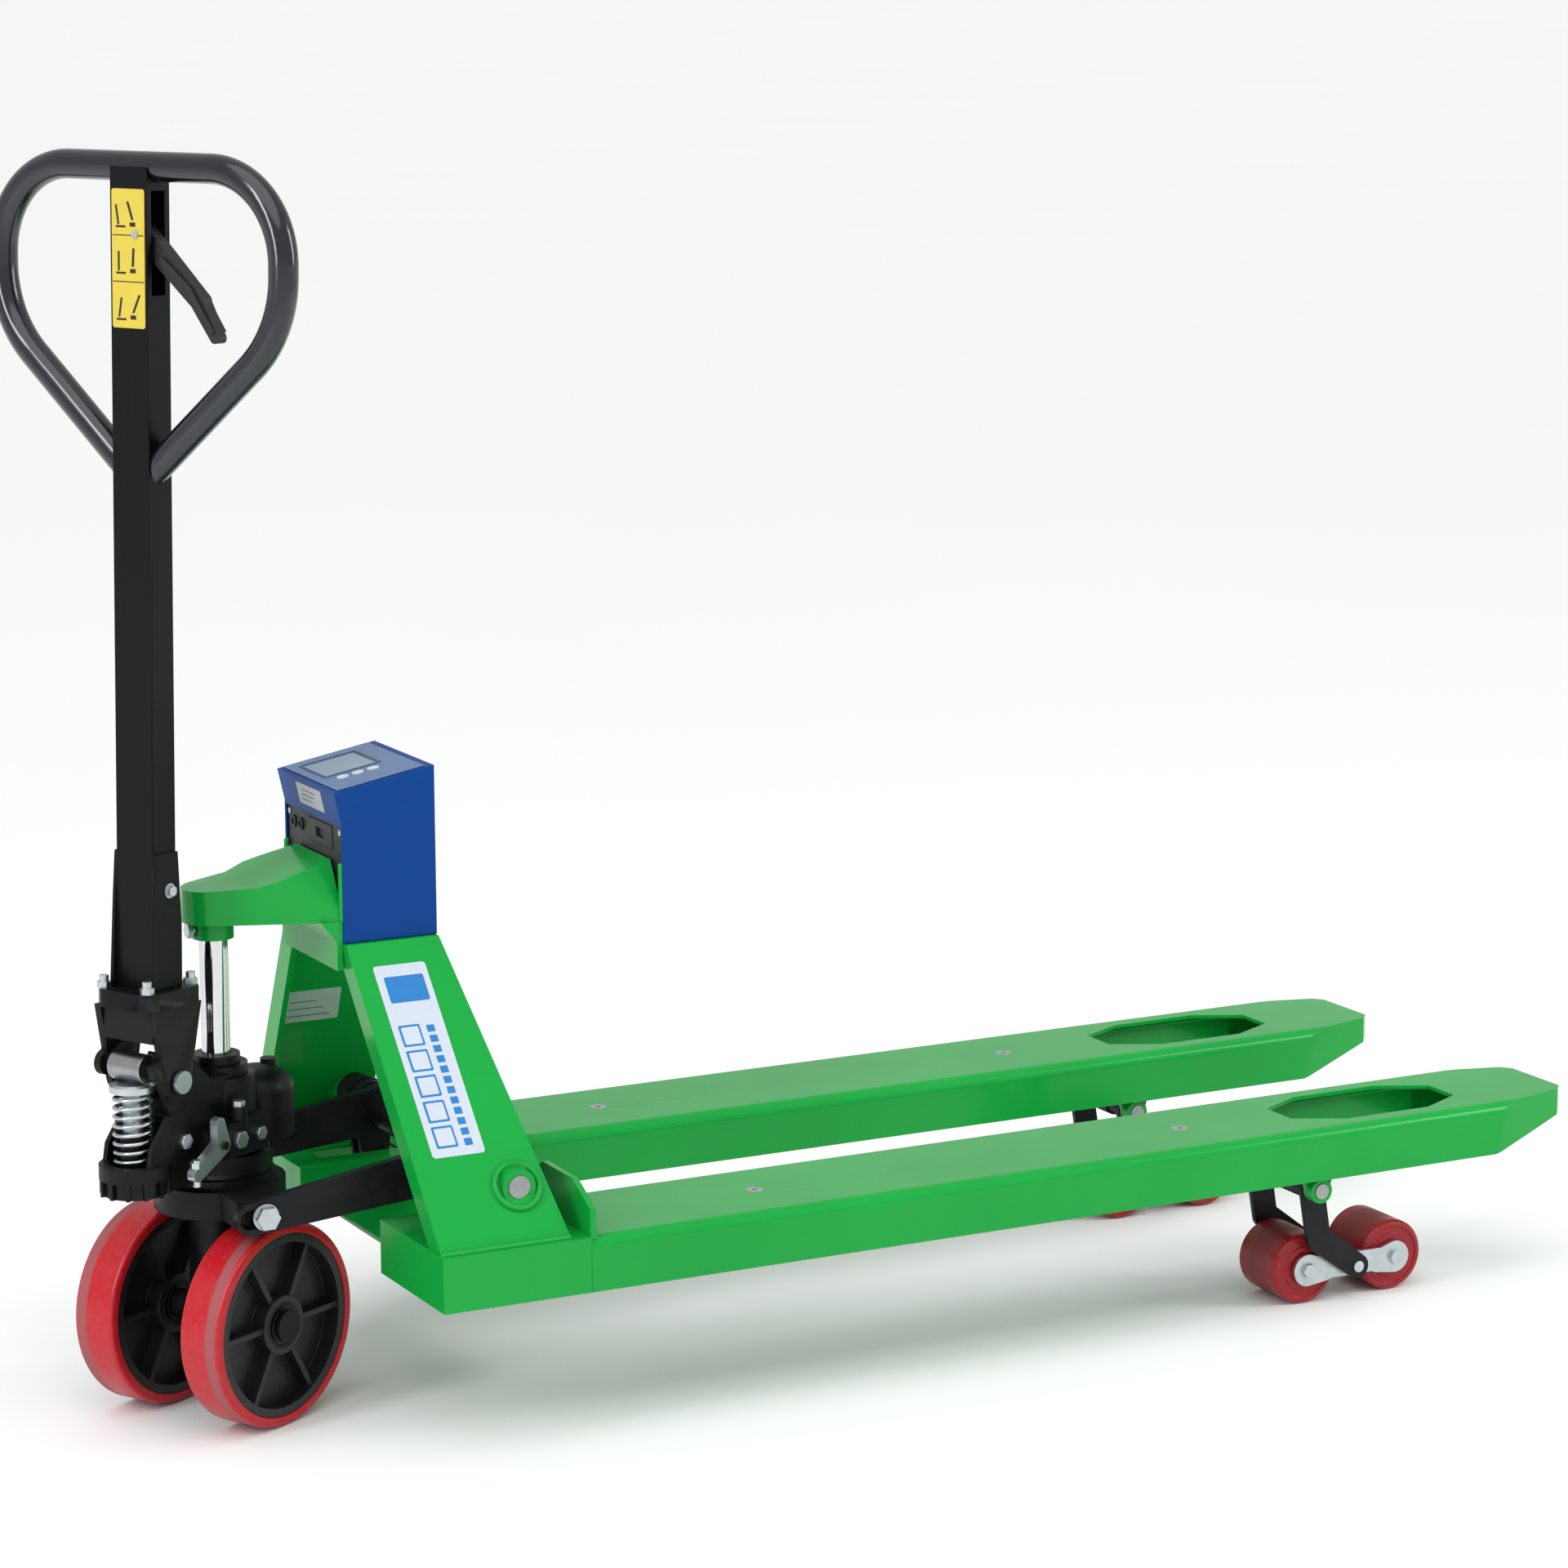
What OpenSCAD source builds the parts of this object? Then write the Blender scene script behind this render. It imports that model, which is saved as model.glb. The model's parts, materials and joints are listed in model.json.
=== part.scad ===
// Hand pallet truck with weighing forks, drawn with the forks raised and the
// handle turned aside. Millimetres. The floor is z = 0, the forks point along +X
// and the truck's middle line is y = 0.

/* [Forks] */
// Length of a fork cover, from the backrest to the tip
fork_length = 1155; // [960:5:1386]
// Width over both forks
overall_width = 520; // [480:2:624]
// Width of one fork
fork_width = 156; // [140:2:180]
// Height of a fork's side
fork_depth = 54; // [50:1:64]
// Height of the fork tops when raised
fork_top = 198; // [194:1:204]
// Thickness of the fork sheets
sheet = 4; // [3:0.5:5]
// Radius of the long top edges
edge_radius = 12; // [6:1:14]
// Length of the hand holes in the fork tips
window_length = 205; // [170:5:246]
// Width of the hand holes
window_width = 100; // [84:2:104]

/* [Frame] */
// From the ram to the front of the fork heels
heel_start = 124; // [124:1:150]
// Length of the fork heels
heel_length = 153; // [150:1:184]
// Height of the frame's top
frame_top = 465; // [460:1:500]
// Half width of the frame's top
frame_half_top = 80; // [76:1:96]
// Thickness of the cheek plates
cheek_thickness = 9; // [7:0.5:12]
// Height of the backrest plates over the forks
stop_height = 48; // [40:1:58]

/* [Weighing unit] */
// Width of the indicator box
box_width = 150; // [130:1:156]
// Depth of the indicator box
box_depth = 97; // [90:1:116]
// Height of the box's front
box_front = 148; // [140:1:178]
// Extra height of the box's back
box_slope = 19; // [14:1:26]

/* [Steering] */
// How far the handle is turned aside at rest
steer_turn = 28.4; // [-60:0.1:60]
// Radius of the steering wheels
wheel_radius = 100; // [90:1:100]
// Width of a steering wheel
wheel_width = 48; // [40:1:50]
// Gap between the two steering wheels
wheel_gap = 86; // [80:1:100]
// How far the wheels trail behind the ram
wheel_trail = 13; // [8:1:16]
// Diameter of the ram
ram_diameter = 28; // [24:1:33]
// Diameter of the pump's stem
stem_diameter = 62; // [56:1:66]

/* [Handle] */
// Height of the column's top
column_top = 1210; // [1010:5:1400]
// Width of the column across
column_width = 45; // [40:1:50]
// Depth of the column front to back
column_depth = 32; // [28:1:36]
// Lean of the handle towards the forks
lean = 1.6; // [0:0.1:4]
// Half width of the handle loop, to the tube's middle
loop_half = 172.5; // [150:0.5:205]
// Diameter of the loop's tube
loop_tube = 28; // [24:1:34]

/* [Load rollers] */
// Radius of the load rollers
roller_radius = 37.5; // [33:0.5:38]
// Width of the load rollers
roller_width = 70; // [60:1:72]
// Distance between two rollers in a pair
roller_spacing = 109; // [90:1:112]

/* [Clearances] */
// Radial gap of a turning or sliding fit
running = 0.05; // [0.02:0.01:0.1]
// Gap between faces that pass each other
side_gap = 1; // [0.6:0.1:1.6]

/* [Hidden] */
$fn = 48;
fork_y = (overall_width - fork_width) / 2;
fork_low = fork_top - fork_depth;
seam = heel_start + heel_length;
tip = seam + fork_length;
half_w = fork_width / 2;
fork_inner = fork_y - half_w;
turn = steer_turn;
arm_foot_x = -95;
foot_z = 440;
lean_run = tan(lean);
loop_z = column_top;
loop_bend = 85;
loop_side_z = loop_z - loop_bend;
front_reach = -(arm_foot_x + (loop_side_z - foot_z) * lean_run) * cos(turn)
    + loop_half * abs(sin(turn)) + loop_tube / 2;
steer_x = (front_reach - tip) / 2;

// windows in the fork tips
win_end = tip - 123;
win_start = win_end - window_length;
win_half = window_width / 2;

// inner forks
base_half = half_w - sheet - 2;
base_top = fork_top - sheet - 2;

// rocker and its shaft
shaft_x = 218;
shaft_z = fork_top + 49;
shaft_r = 11;
rocker_r = 20;
pin_x = 2;
pin_z = 220;
pin_r = 8;
arm_in = 107;
arm_t = 10;
arm_reach = sqrt(pow(shaft_x - pin_x, 2) + pow(shaft_z - pin_z, 2));
arm_drop = atan((shaft_z - pin_z) / (shaft_x - pin_x));
slot_play = 1.8;
rod_y = fork_inner + 45;
rod_r = 7;
rod_drop = 79;
rod_z = shaft_z - rod_drop;

// levers that carry the load rollers
lev_x = win_start + 8;
lev_z = fork_low - 14;
lev_t = 6;
bog_x = lev_x + 58;
bog_z = roller_radius;
short_arm = 34;
short_angle = 34.1;
rod_end_x = lev_x + short_arm * sin(short_angle);
rod_end_z = lev_z + short_arm * cos(short_angle);
lev_pin_r = 8;
rod_pin_r = 5;
plate_in = roller_width / 2 + 2;
plate_t = 5;
axle_r = 8;
axle_head = 4.5;
lev_in = plate_in + plate_t + axle_head + side_gap;
base_open = lev_in + lev_t + 3.5;

// cheeks
slope = (overall_width / 2 - 10 - frame_half_top) / (frame_top - fork_top);
function cheek_y(z) = overall_width / 2 - 10 - slope * (z - fork_top);
cheek_h = cheek_thickness / cos(atan(slope));
boss_in = cheek_y(shaft_z + rocker_r) - cheek_h - 7;
boss_out = cheek_y(shaft_z) + 6;

// steered parts
stem_r = stem_diameter / 2;
ram_r = ram_diameter / 2;
hub_out = wheel_gap / 2 + wheel_width;
axle_z = wheel_radius;
wheel_axle_r = 12;
collar_low = 205;
collar_top = 240;
race_top = collar_top + 6;
gland_top = 355;
spring_x = -120;
cup_z = 243;
spring_low = 270;
spring_top = 343;
spring_r = 18;
wire_r = 2;
cap_top = 351;
tiller_x = -97;
tiller_z = 352;
tiller_pin_r = 7;
press_x = tiller_x - 22;
press_z = tiller_z + 14;
press_r = 14;

// column, measured from its foot
col_len = (column_top - foot_z) / cos(lean);
lever_z = col_len - 62;
lever_y = -column_width / 2 + 14;
lever_pin_r = 4;

// ---------- helpers ----------
module truck() translate([steer_x, 0, 0]) children();
module steered() truck() rotate([0, 0, turn]) children();
module tiller() steered() translate([arm_foot_x, 0, foot_z]) rotate([0, lean, 0]) children();
// draws an (x, z) outline and thickens it along y
module side(y0, y1) translate([0, y1, 0]) rotate([90, 0, 0]) linear_extrude(y1 - y0) children();
// draws a (y, z) outline and thickens it along x
module cross(x0, x1) translate([x0, 0, 0]) rotate([90, 0, 90]) linear_extrude(x1 - x0) children();
// round bar along y
module bar_y(r, y0, y1) translate([0, y1, 0]) rotate([90, 0, 0]) cylinder(r = r, h = y1 - y0);
// round bar along x
module bar_x(r, x0, x1) translate([x0, 0, 0]) rotate([0, 90, 0]) cylinder(r = r, h = x1 - x0);
// six-sided head along y
module hex_y(r, y0, y1) translate([0, y1, 0]) rotate([90, 0, 0]) cylinder(r = r, h = y1 - y0, $fn = 6);
module hex_z(r, z0, z1) translate([0, 0, z0]) cylinder(r = r, h = z1 - z0, $fn = 6);
// flat link between two round ends in (x, z)
module link2(a, ra, b, rb) hull() {
    translate(a) circle(ra, $fn = 32);
    translate(b) circle(rb, $fn = 32);
}

// ---------- forks ----------
module fork_section(w, top, low, r) {
    translate([-w, low]) square([2 * w, top - r - low]);
    translate([-w + r, low]) square([2 * (w - r), top - low]);
    for (s = [-1, 1]) translate([s * (w - r), top - r]) circle(r);
}
module fork_plan(x0, inset) {
    w = half_w - inset;
    t = tip - inset;
    n = half_w * 0.74 - inset * 0.7;
    linear_extrude(fork_top + 60)
        polygon([[x0, -w], [tip - 100, -w], [tip - 26 - inset, -n], [t - 10, -n * 0.92],
            [t, -n * 0.72], [t, n * 0.72], [t - 10, n * 0.92], [tip - 26 - inset, n],
            [tip - 100, w], [x0, w]]);
}
module window_plan(grow) {
    a = win_start - grow;
    b = win_end + grow;
    w = win_half + grow;
    c = win_half * 0.46 + grow * 0.6;
    polygon([[a, -c], [a + 52, -w], [b - 52, -w], [b, -c], [b, c], [b - 52, w], [a + 52, w], [a, c]]);
}
screw_x = [seam + 213, win_start - 122];
module fork_cover(s) translate([0, s * fork_y, 0]) {
    difference() {
        intersection() {
            cross(seam, tip) fork_section(half_w, fork_top, fork_low, edge_radius);
            fork_plan(seam, 0);
            side(-half_w, half_w) polygon([[seam, fork_low], [tip - 106, fork_low],
                [tip, fork_top - 26], [tip, fork_top], [seam, fork_top]]);
        }
        intersection() {
            cross(seam - 1, tip) fork_section(half_w - sheet, fork_top - sheet, fork_low - 20,
                edge_radius - sheet);
            fork_plan(seam - 1, sheet);
            side(-half_w, half_w) polygon([[seam - 1, fork_low - 20], [tip - 110, fork_low - 20],
                [tip - 110, fork_low + 3.3], [tip - 8, fork_top - 24], [tip - 8, fork_top],
                [seam - 1, fork_top]]);
        }
        translate([0, 0, fork_low]) linear_extrude(fork_depth + 10) window_plan(0);
        for (x = screw_x) translate([x, 0, fork_top - sheet - 1]) {
            cylinder(r = 5, h = sheet + 2);
            translate([0, 0, sheet + 1 - 3.5]) cylinder(r1 = 5, r2 = 9.02, h = 3.52);
        }
    }
    // backrest plate with cut corners
    cross(seam, seam + 6) polygon([[-half_w + 3, fork_top - 3], [half_w - 3, fork_top - 3],
        [half_w - 3, fork_top + stop_height - 21], [half_w - 44, fork_top + stop_height],
        [-half_w + 44, fork_top + stop_height], [-half_w + 3, fork_top + stop_height - 21]]);
}
module lever_boss() translate([lev_x, 0, lev_z]) children();
module fork_base(s) translate([0, s * fork_y, 0]) difference() {
    union() {
        // hollow heel
        difference() {
            translate([heel_start, -half_w, fork_low]) cube([heel_length, fork_width, fork_depth]);
            translate([heel_start + sheet, -half_w + sheet, fork_low - 1])
                cube([heel_length + 2, fork_width - 2 * sheet, fork_depth - sheet + 1]);
            // slot for the rocker's lower arm
            translate([shaft_x - 62, -s * (fork_y - rod_y) - 18, fork_top - sheet - 1])
                cube([86, 36, sheet + 2]);
        }
        // shoulder that the inner fork is welded to
        difference() {
            cross(seam - 8, seam) translate([-half_w + 1, fork_low])
                square([fork_width - 2, fork_depth - 1]);
            cross(seam - 9, seam + 1) translate([-base_half + sheet, fork_low - 1])
                square([2 * (base_half - sheet), base_top - sheet - fork_low + 1]);
        }
        // inner fork
        difference() {
            cross(seam - 2, tip - 112) fork_section(base_half, base_top, fork_low + 2, edge_radius / 2);
            cross(seam - 9, tip - 111) translate([-base_half + sheet, fork_low - 1])
                square([2 * (base_half - sheet), base_top - sheet - fork_low + 1]);
            translate([win_start - 7, -base_open, fork_low]) cube([400, 2 * base_open, fork_depth]);
        }
        // hangers and bosses of the roller lever
        for (t = [-1, 1]) {
            difference() {
                union() {
                    side(t > 0 ? base_open : -base_open - 6, t > 0 ? base_open + 6 : -base_open)
                        polygon([[lev_x - 34, base_top - 1], [lev_x - 13, lev_z], [lev_x + 13, lev_z],
                            [lev_x + 34, base_top - 1]]);
                    lever_boss() bar_y(13, t > 0 ? lev_in + lev_t + side_gap : -base_half + 2,
                        t > 0 ? base_half - 2 : -lev_in - lev_t - side_gap);
                }
            }
        }
    }
    lever_boss() bar_y(lev_pin_r, -half_w, half_w);
    for (x = screw_x) translate([x, 0, base_top - 30]) cylinder(r = 13, h = 40);
}
cell_w = 32;
module load_cells() color("silver") truck() for (s = [-1, 1], x = screw_x)
    translate([x, s * fork_y, 0]) difference() {
        union() {
            translate([-65, -cell_w / 2, base_top - sheet - 25]) cube([130, cell_w, 25]);
            translate([0, 0, base_top - sheet - 1]) cylinder(r = 12, h = fork_top - base_top + 1 );
        }
        translate([0, 0, base_top - sheet - 26]) cylinder(r = 5, h = 60);
    }
module cover_screws() color("silver") truck() for (s = [-1, 1], x = screw_x)
    translate([x, s * fork_y, 0]) {
        translate([0, 0, fork_top - 40]) cylinder(r = 5, h = 38);
        difference() {
            translate([0, 0, fork_top - 3.5]) cylinder(r1 = 5, r2 = 9, h = 3.5);
            translate([0, 0, fork_top - 2.5]) cylinder(r = 3, h = 3, $fn = 6);
        }
    }

// ---------- frame ----------
module cheek(s) mirror([0, s > 0 ? 0 : 1, 0]) difference() {
    union() {
        intersection() {
            union() {
                cross(90, 290) polygon([[cheek_y(fork_top), fork_top], [cheek_y(frame_top), frame_top],
                    [cheek_y(frame_top) - cheek_h, frame_top], [cheek_y(fork_top) - cheek_h, fork_top]]);
            }
            side(0, 300) polygon([[heel_start + 2, fork_top], [heel_start - 19, frame_top],
                [heel_start + 77, frame_top], [heel_start + 136, fork_top]]);
        }
        // turned-in front flange
        intersection() {
            cross(90, 290) polygon([[cheek_y(fork_top) - 1, fork_top], [cheek_y(frame_top) - 1, frame_top],
                [cheek_y(frame_top) - cheek_h - 19, frame_top],
                [cheek_y(fork_top) - cheek_h - 19, fork_top]]);
            side(0, 300) polygon([[heel_start + 2, fork_top], [heel_start - 19, frame_top],
                [heel_start - 13, frame_top], [heel_start + 8, fork_top]]);
        }
        translate([shaft_x, 0, shaft_z]) bar_y(17, boss_in, boss_out);
        translate([shaft_x, 0, shaft_z]) bar_y(21, cheek_y(shaft_z) - cheek_h - 2, cheek_y(shaft_z) - 6);
    }
    translate([shaft_x, 0, shaft_z]) bar_y(shaft_r, 0, 300);
}
module cross_member() color("green") truck() {
    difference() {
        translate([seam - 44, -fork_inner, fork_low]) cube([40, 2 * fork_inner, fork_depth - 4]);
        translate([seam - 40, -fork_inner - 1, fork_low - 1]) cube([32, 2 * fork_inner + 2, fork_depth - 7]);
    }
    // sloping apron plate
    side(-fork_inner, fork_inner) polygon([[heel_start + 30, fork_low + 6], [heel_start + 30, fork_low + 11],
        [seam - 44, fork_top - 4], [seam - 42, fork_top - 10]]);
}
box_z = frame_top;
box_x = heel_start - 19;
arm_root = box_x;
module lift_arm() color("green") truck() difference() {
    union() {
        intersection() {
            translate([0, 0, 486]) linear_extrude(80) hull() {
                circle(30, $fn = 64);
                translate([arm_root - 8, -frame_half_top + 10]) square([8, 2 * frame_half_top - 20]);
            }
            side(-100, 100) polygon([[-40, 486], [arm_root, 486], [arm_root, 543], [70, 534],
                [30, 522], [-40, 518]]);
            // narrowing towards the top
            cross(-40, arm_root) polygon([[-frame_half_top + 2, 486], [frame_half_top - 2, 486],
                [42, 546], [-42, 546]]);
        }
        translate([0, 0, 469]) cylinder(r = 20, h = 18);
        // root plate under and behind the arm
        side(-frame_half_top + 8, frame_half_top - 8) polygon([[arm_root - 22, 487], [arm_root, 487],
            [arm_root, frame_top - 26], [arm_root - 6, frame_top - 26], [arm_root - 6, frame_top + 2]]);
    }
    translate([0, 0, 460]) cylinder(r = ram_r, h = 50);
    translate([0, 0, 478]) bar_x(4, -30, 0);
}
module piston_rod() color("silver") truck() translate([0, 0, 245]) cylinder(r = ram_r, h = 265);
module rod_set_screw() color("silver") truck() translate([0, 0, 478]) {
    bar_x(4, -22, -ram_r);
    rotate([0, 0, 90]) hex_y(8, 22, 27);
}
module rocker_shaft() color("gray") truck() translate([shaft_x, 0, shaft_z])
    bar_y(shaft_r, -boss_out - 1, boss_out + 1);
module lever_pivot_pins() color("gray") truck() for (s = [-1, 1])
    translate([0, s * fork_y, 0]) lever_boss() bar_y(lev_pin_r, -base_half + 1, base_half - 1);

// ---------- weighing unit ----------
half_box = box_width / 2;
band_z = box_z + box_front - 31;
box_back = box_x + box_depth;
top_angle = atan(box_slope / (box_depth + 7));
module on_top() translate([box_x - 7, 0, box_z + box_front]) rotate([0, -top_angle, 0]) children();
module box_outline(inset) polygon([[box_x + inset, box_z + inset], [box_x + inset, band_z],
    [box_x - 7 + inset, box_z + box_front - inset],
    [box_back - inset, box_z + box_front + box_slope - inset],
    [box_back - inset, box_z + inset]]);
panel_t = 3;
module indicator_housing() color("blue") truck() difference() {
    side(-half_box, half_box) box_outline(0);
    side(-half_box + 2.5, half_box - 2.5) box_outline(2.5);
    // recess of the front panel
    translate([box_x - 1, -half_box + 4, box_z + 4]) cube([6, box_width - 8, box_front - 39]);
    // window and keys
    on_top() translate([0, 0, -6]) {
        translate([12, -40, 0]) cube([66, 96, 10]);
    }
}
panel_x = box_x + 2.5;
batt_y = -14;
batt_w = 62;
batt_h = 23;
batt_z = box_z + box_front - 38 - batt_h;
socket_z = batt_z + batt_h / 2;
module panel_screw_spots() for (y = [-1, 1], z = [0, 1])
    translate([0, y * (half_box - 10), box_z + 10 + z * (box_front - 51)]) children();
module front_panel() color("black") truck() difference() {
    union() {
        translate([panel_x, -half_box + 2.5, box_z + 2.5]) cube([panel_t, box_width - 5, box_front - 36]);
        // sockets
        for (y = [36, 54]) translate([0, y, socket_z]) bar_x(6, panel_x - 2, panel_x + 1);
        translate([panel_x - 1, 28, box_z + 24]) cube([2, 34, 30]);
        // battery guide
        difference() {
            translate([panel_x + 1, batt_y - batt_w / 2 - 3, batt_z - 3]) cube([62, batt_w + 6, batt_h + 6]);
            translate([panel_x - 1, batt_y - batt_w / 2 - 0.4, batt_z - 0.4])
                cube([70, batt_w + 0.8, batt_h + 0.8]);
        }
    }
    translate([panel_x - 1, batt_y - batt_w / 2 - 0.4, batt_z - 0.4]) cube([10, batt_w + 0.8, batt_h + 0.8]);
    for (y = [36, 54]) translate([0, y, socket_z]) bar_x(3.5, panel_x - 3, panel_x - 0.5);
    panel_screw_spots() bar_x(3, panel_x - 2, panel_x + 5);
}
module battery_pack() color("dimgray") truck() difference() {
    translate([panel_x - 1, batt_y - batt_w / 2, batt_z]) cube([60, batt_w, batt_h]);
    translate([panel_x - 2, batt_y - 10, batt_z + 7]) cube([4, 20, 9]);
}
module panel_screws() color("silver") truck() panel_screw_spots() bar_x(3, panel_x - 1.2, panel_x + 5);
keys = [[24, -30], [40, -30], [56, -30]];
module keypad() color("steelblue") truck() on_top() difference() {
    translate([5, -half_box + 4, 0]) cube([box_depth - 5, box_width - 8, 1.2]);
    for (k = keys) translate([k[0] + 4, k[1], -6]) cylinder(r = 6.3, h = 12);
    translate([18, -12, -1]) cube([54, 62, 4]);
}
module display_window() color("gray") truck() on_top() translate([18.1, -11.9, -0.4]) cube([53.8, 61.8, 1.3]);
module key(i) truck() on_top() translate([keys[i][0] + 4, keys[i][1], -4]) {
    cylinder(r = 6, h = 6);
    translate([0, 0, -2.2]) cylinder(r = 8, h = 2.2);
}

// ---------- steering head ----------
module steering_collar() color("dimgray") truck() difference() {
    union() {
        translate([0, 0, collar_low]) cylinder(r = 64, h = collar_top - collar_low - 8);
        translate([0, 0, collar_low]) cylinder(r = 54, h = collar_top - collar_low);
        translate([-22, -arm_in + 1.5, collar_low + 2]) cube([46, 2 * (arm_in - 1.5), 26]);
    }
    translate([0, 0, collar_low - 1]) cylinder(r = stem_r + running, h = 60);
    for (s = [-1, 1]) translate([pin_x, 0, pin_z])
        bar_y(pin_r, s > 0 ? 70 : -arm_in, s > 0 ? arm_in : -70);
}
module collar_bolts() color("silver") truck() translate([pin_x, 0, pin_z]) for (s = [-1, 1])
    mirror([0, s > 0 ? 0 : 1, 0]) {
        bar_y(pin_r, 70, arm_in + arm_t + 1);
        bar_y(13, arm_in + arm_t + side_gap, arm_in + arm_t + side_gap + 2);
        hex_y(12, arm_in + arm_t + side_gap + 1.9, arm_in + arm_t + side_gap + 10);
    }
module thrust_bearing() color("silver") truck() translate([0, 0, collar_top]) difference() {
    cylinder(r = 50, h = 6);
    translate([0, 0, -1]) cylinder(r = stem_r + 0.5, h = 8);
}
module pump_body() color("dimgray") steered() difference() {
    union() {
        translate([0, 0, 72]) cylinder(r = stem_r, h = 190);
        // flange and cylinder
        translate([0, 0, race_top + running]) cylinder(r = 52, h = 16);
        translate([0, 0, race_top + 10]) cylinder(r = 37, h = 80);
        translate([0, 0, 330]) cylinder(r = 30, h = 16);
        translate([0, 0, 340]) cylinder(r = 23, h = gland_top - 340);
        // pump block towards the handle
        translate([-98, -30, race_top + 6]) cube([98, 60, 60]);
        translate([-74, -29, race_top + 60]) cube([60, 58, 34]);
        side(-29, 29) polygon([[-94, 252], [-60, 252], [-40, 335], [-64, 366], [-94, 330]]);
        // ears for the handle's pivot
        for (s = [-1, 1]) side(s > 0 ? 23 : -29, s > 0 ? 29 : -23) union() {
            link2([tiller_x, tiller_z], 16, [-66, 330], 26);
            link2([tiller_x, tiller_z], 16, [-70, 300], 20);
        }
        // spring cup and guide
        translate([spring_x, 0, cup_z]) cylinder(r = 30, h = 18);
        translate([spring_x, 0, cup_z + 16]) cylinder(r = 34, h = 14);
        translate([-104, -32, cup_z + 3]) cube([50, 64, 26]);
        translate([spring_x, 0, 260]) cylinder(r = 13, h = 42);
        // ribs down the cup
        for (a = [60 : 30 : 300]) translate([spring_x, 0, cup_z]) rotate([0, 0, a])
            translate([26, -2, 0]) cube([8, 4, 20]);
        // side guards of the spring
        for (s = [-1, 1]) side(s > 0 ? 25 : -30, s > 0 ? 30 : -25)
            polygon([[-134, 262], [-80, 262], [-80, 320], [-104, 318], [-128, 290]]);
        // valve block low on the near side
        translate([-44, -52, 266]) cube([58, 30, 34]);
        translate([-20, -44, 290]) cylinder(r = 9, h = 22);
        // lug and pin of the release lever
        translate([rel_x - 9, -rel_in + side_gap, rel_z - 12]) cube([18, rel_in - side_gap - 26, 24]);
        translate([rel_x, 0, rel_z]) bar_y(4, -rel_in - 12, -rel_in + 2);
    }
    translate([0, 0, 125]) cylinder(r = ram_r + running, h = 300);
    translate([-wheel_trail, 0, axle_z]) {
        bar_y(wheel_axle_r, -50, 50);
        bar_y(15 + running, -50, -stem_r + 3.05);
        bar_y(15 + running, stem_r - 3.05, 50);
    }
    // room for the spring
    translate([spring_x, 0, spring_low]) difference() {
        cylinder(r = 23.5, h = 120);
        translate([0, 0, -1]) cylinder(r = 13, h = 33);
    }
    translate([spring_x, 0, 245]) cylinder(r = 10 + running, h = 120);
    translate([tiller_x, 0, tiller_z]) bar_y(tiller_pin_r, -60, 60);
    // room for the pressure roller
    translate([press_x, 0, press_z]) bar_y(press_r + 4, -22.9, 22.9);
    translate([tiller_x - 46, -22.9, 312]) cube([40, 45.8, 70]);
}
module reservoir() color("dimgray") steered() difference() {
    union() {
    translate([58, 0, race_top + 17]) cylinder(r = 36, h = 46);
    intersection() {
        translate([58, 0, race_top + 63]) scale([1, 1, 0.62]) sphere(r = 36, $fn = 48);
        translate([10, -40, race_top + 60]) cube([100, 80, 40]);
    }
    translate([20, -22, race_top + 17]) cube([40, 44, 50]);
    translate([76, 0, race_top + 70]) cylinder(r = 8, h = 18);
    }
    translate([0, 0, race_top]) cylinder(r = 37, h = 140);
}
module pump_fasteners() color("silver") steered() {
    // cylinder lock nut, block plugs and valve screws
    translate([-30, -52, 283]) hex_y(9, -6, 0);
    translate([0, -52, 283]) hex_y(7, -5, 0);
    translate([-20, -44, 312]) hex_z(7, 0, 6);
    translate([-84, -30, 290]) hex_y(8, -6, 0);
    translate([-84, 36, 290]) hex_y(8, -6, 0);
    for (a = [50, 85, 118, 300]) translate([44 * cos(a), 44 * sin(a), race_top + running + 16]) hex_z(6, 0, 5);
}
module wheel_axle() color("dimgray") steered() translate([-wheel_trail, 0, axle_z]) {
    bar_y(wheel_axle_r, -hub_out - 1, hub_out + 1);
    for (s = [-1, 1]) mirror([0, s > 0 ? 0 : 1, 0]) {
        bar_y(16, hub_out + 0.8, hub_out + 5);
        // spacer between the stem and the wheel
        bar_y(15, stem_r - 3, wheel_gap / 2 - 0.4);
    }
}
module tiller_pivot_pin() color("silver") steered() translate([tiller_x, 0, tiller_z]) {
    for (s = [-1, 1]) mirror([0, s > 0 ? 0 : 1, 0]) {
        bar_y(tiller_pin_r, 22.9, 41);
        bar_y(11, 40.9, 45);
    }
}
module plunger() color("silver") steered() translate([spring_x, 0, 0]) {
    translate([0, 0, 279]) cylinder(r = 10, h = 66);
    translate([0, 0, spring_top]) cylinder(r = 22, h = 6);
    translate([0, 0, spring_top + 6]) cylinder(r1 = 22, r2 = 19, h = cap_top - spring_top - 6);
}
turns = 8;
pitch = (spring_top - spring_low) / turns;
function wire_half(a) = sqrt(max(0.02, wire_r * wire_r - pow(a / 360 * pitch, 2)));
module pump_spring() color("lightgray") steered() translate([spring_x, 0, spring_low]) {
    span = wire_r / pitch * 360 * 0.98;
    n = 5;
    linear_extrude(height = spring_top - spring_low, twist = -360 * turns,
        slices = turns * 12, $fn = 8, convexity = 10)
        polygon(concat(
            [for (i = [0 : n]) let (a = -span + 2 * span * i / n)
                (spring_r + wire_half(a)) * [cos(a), sin(a)]],
            [for (i = [n : -1 : 0]) let (a = -span + 2 * span * i / n)
                (spring_r - wire_half(a)) * [cos(a), sin(a)]]));
}
rel_x = -55;
rel_z = 283;
rel_in = 47;
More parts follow.
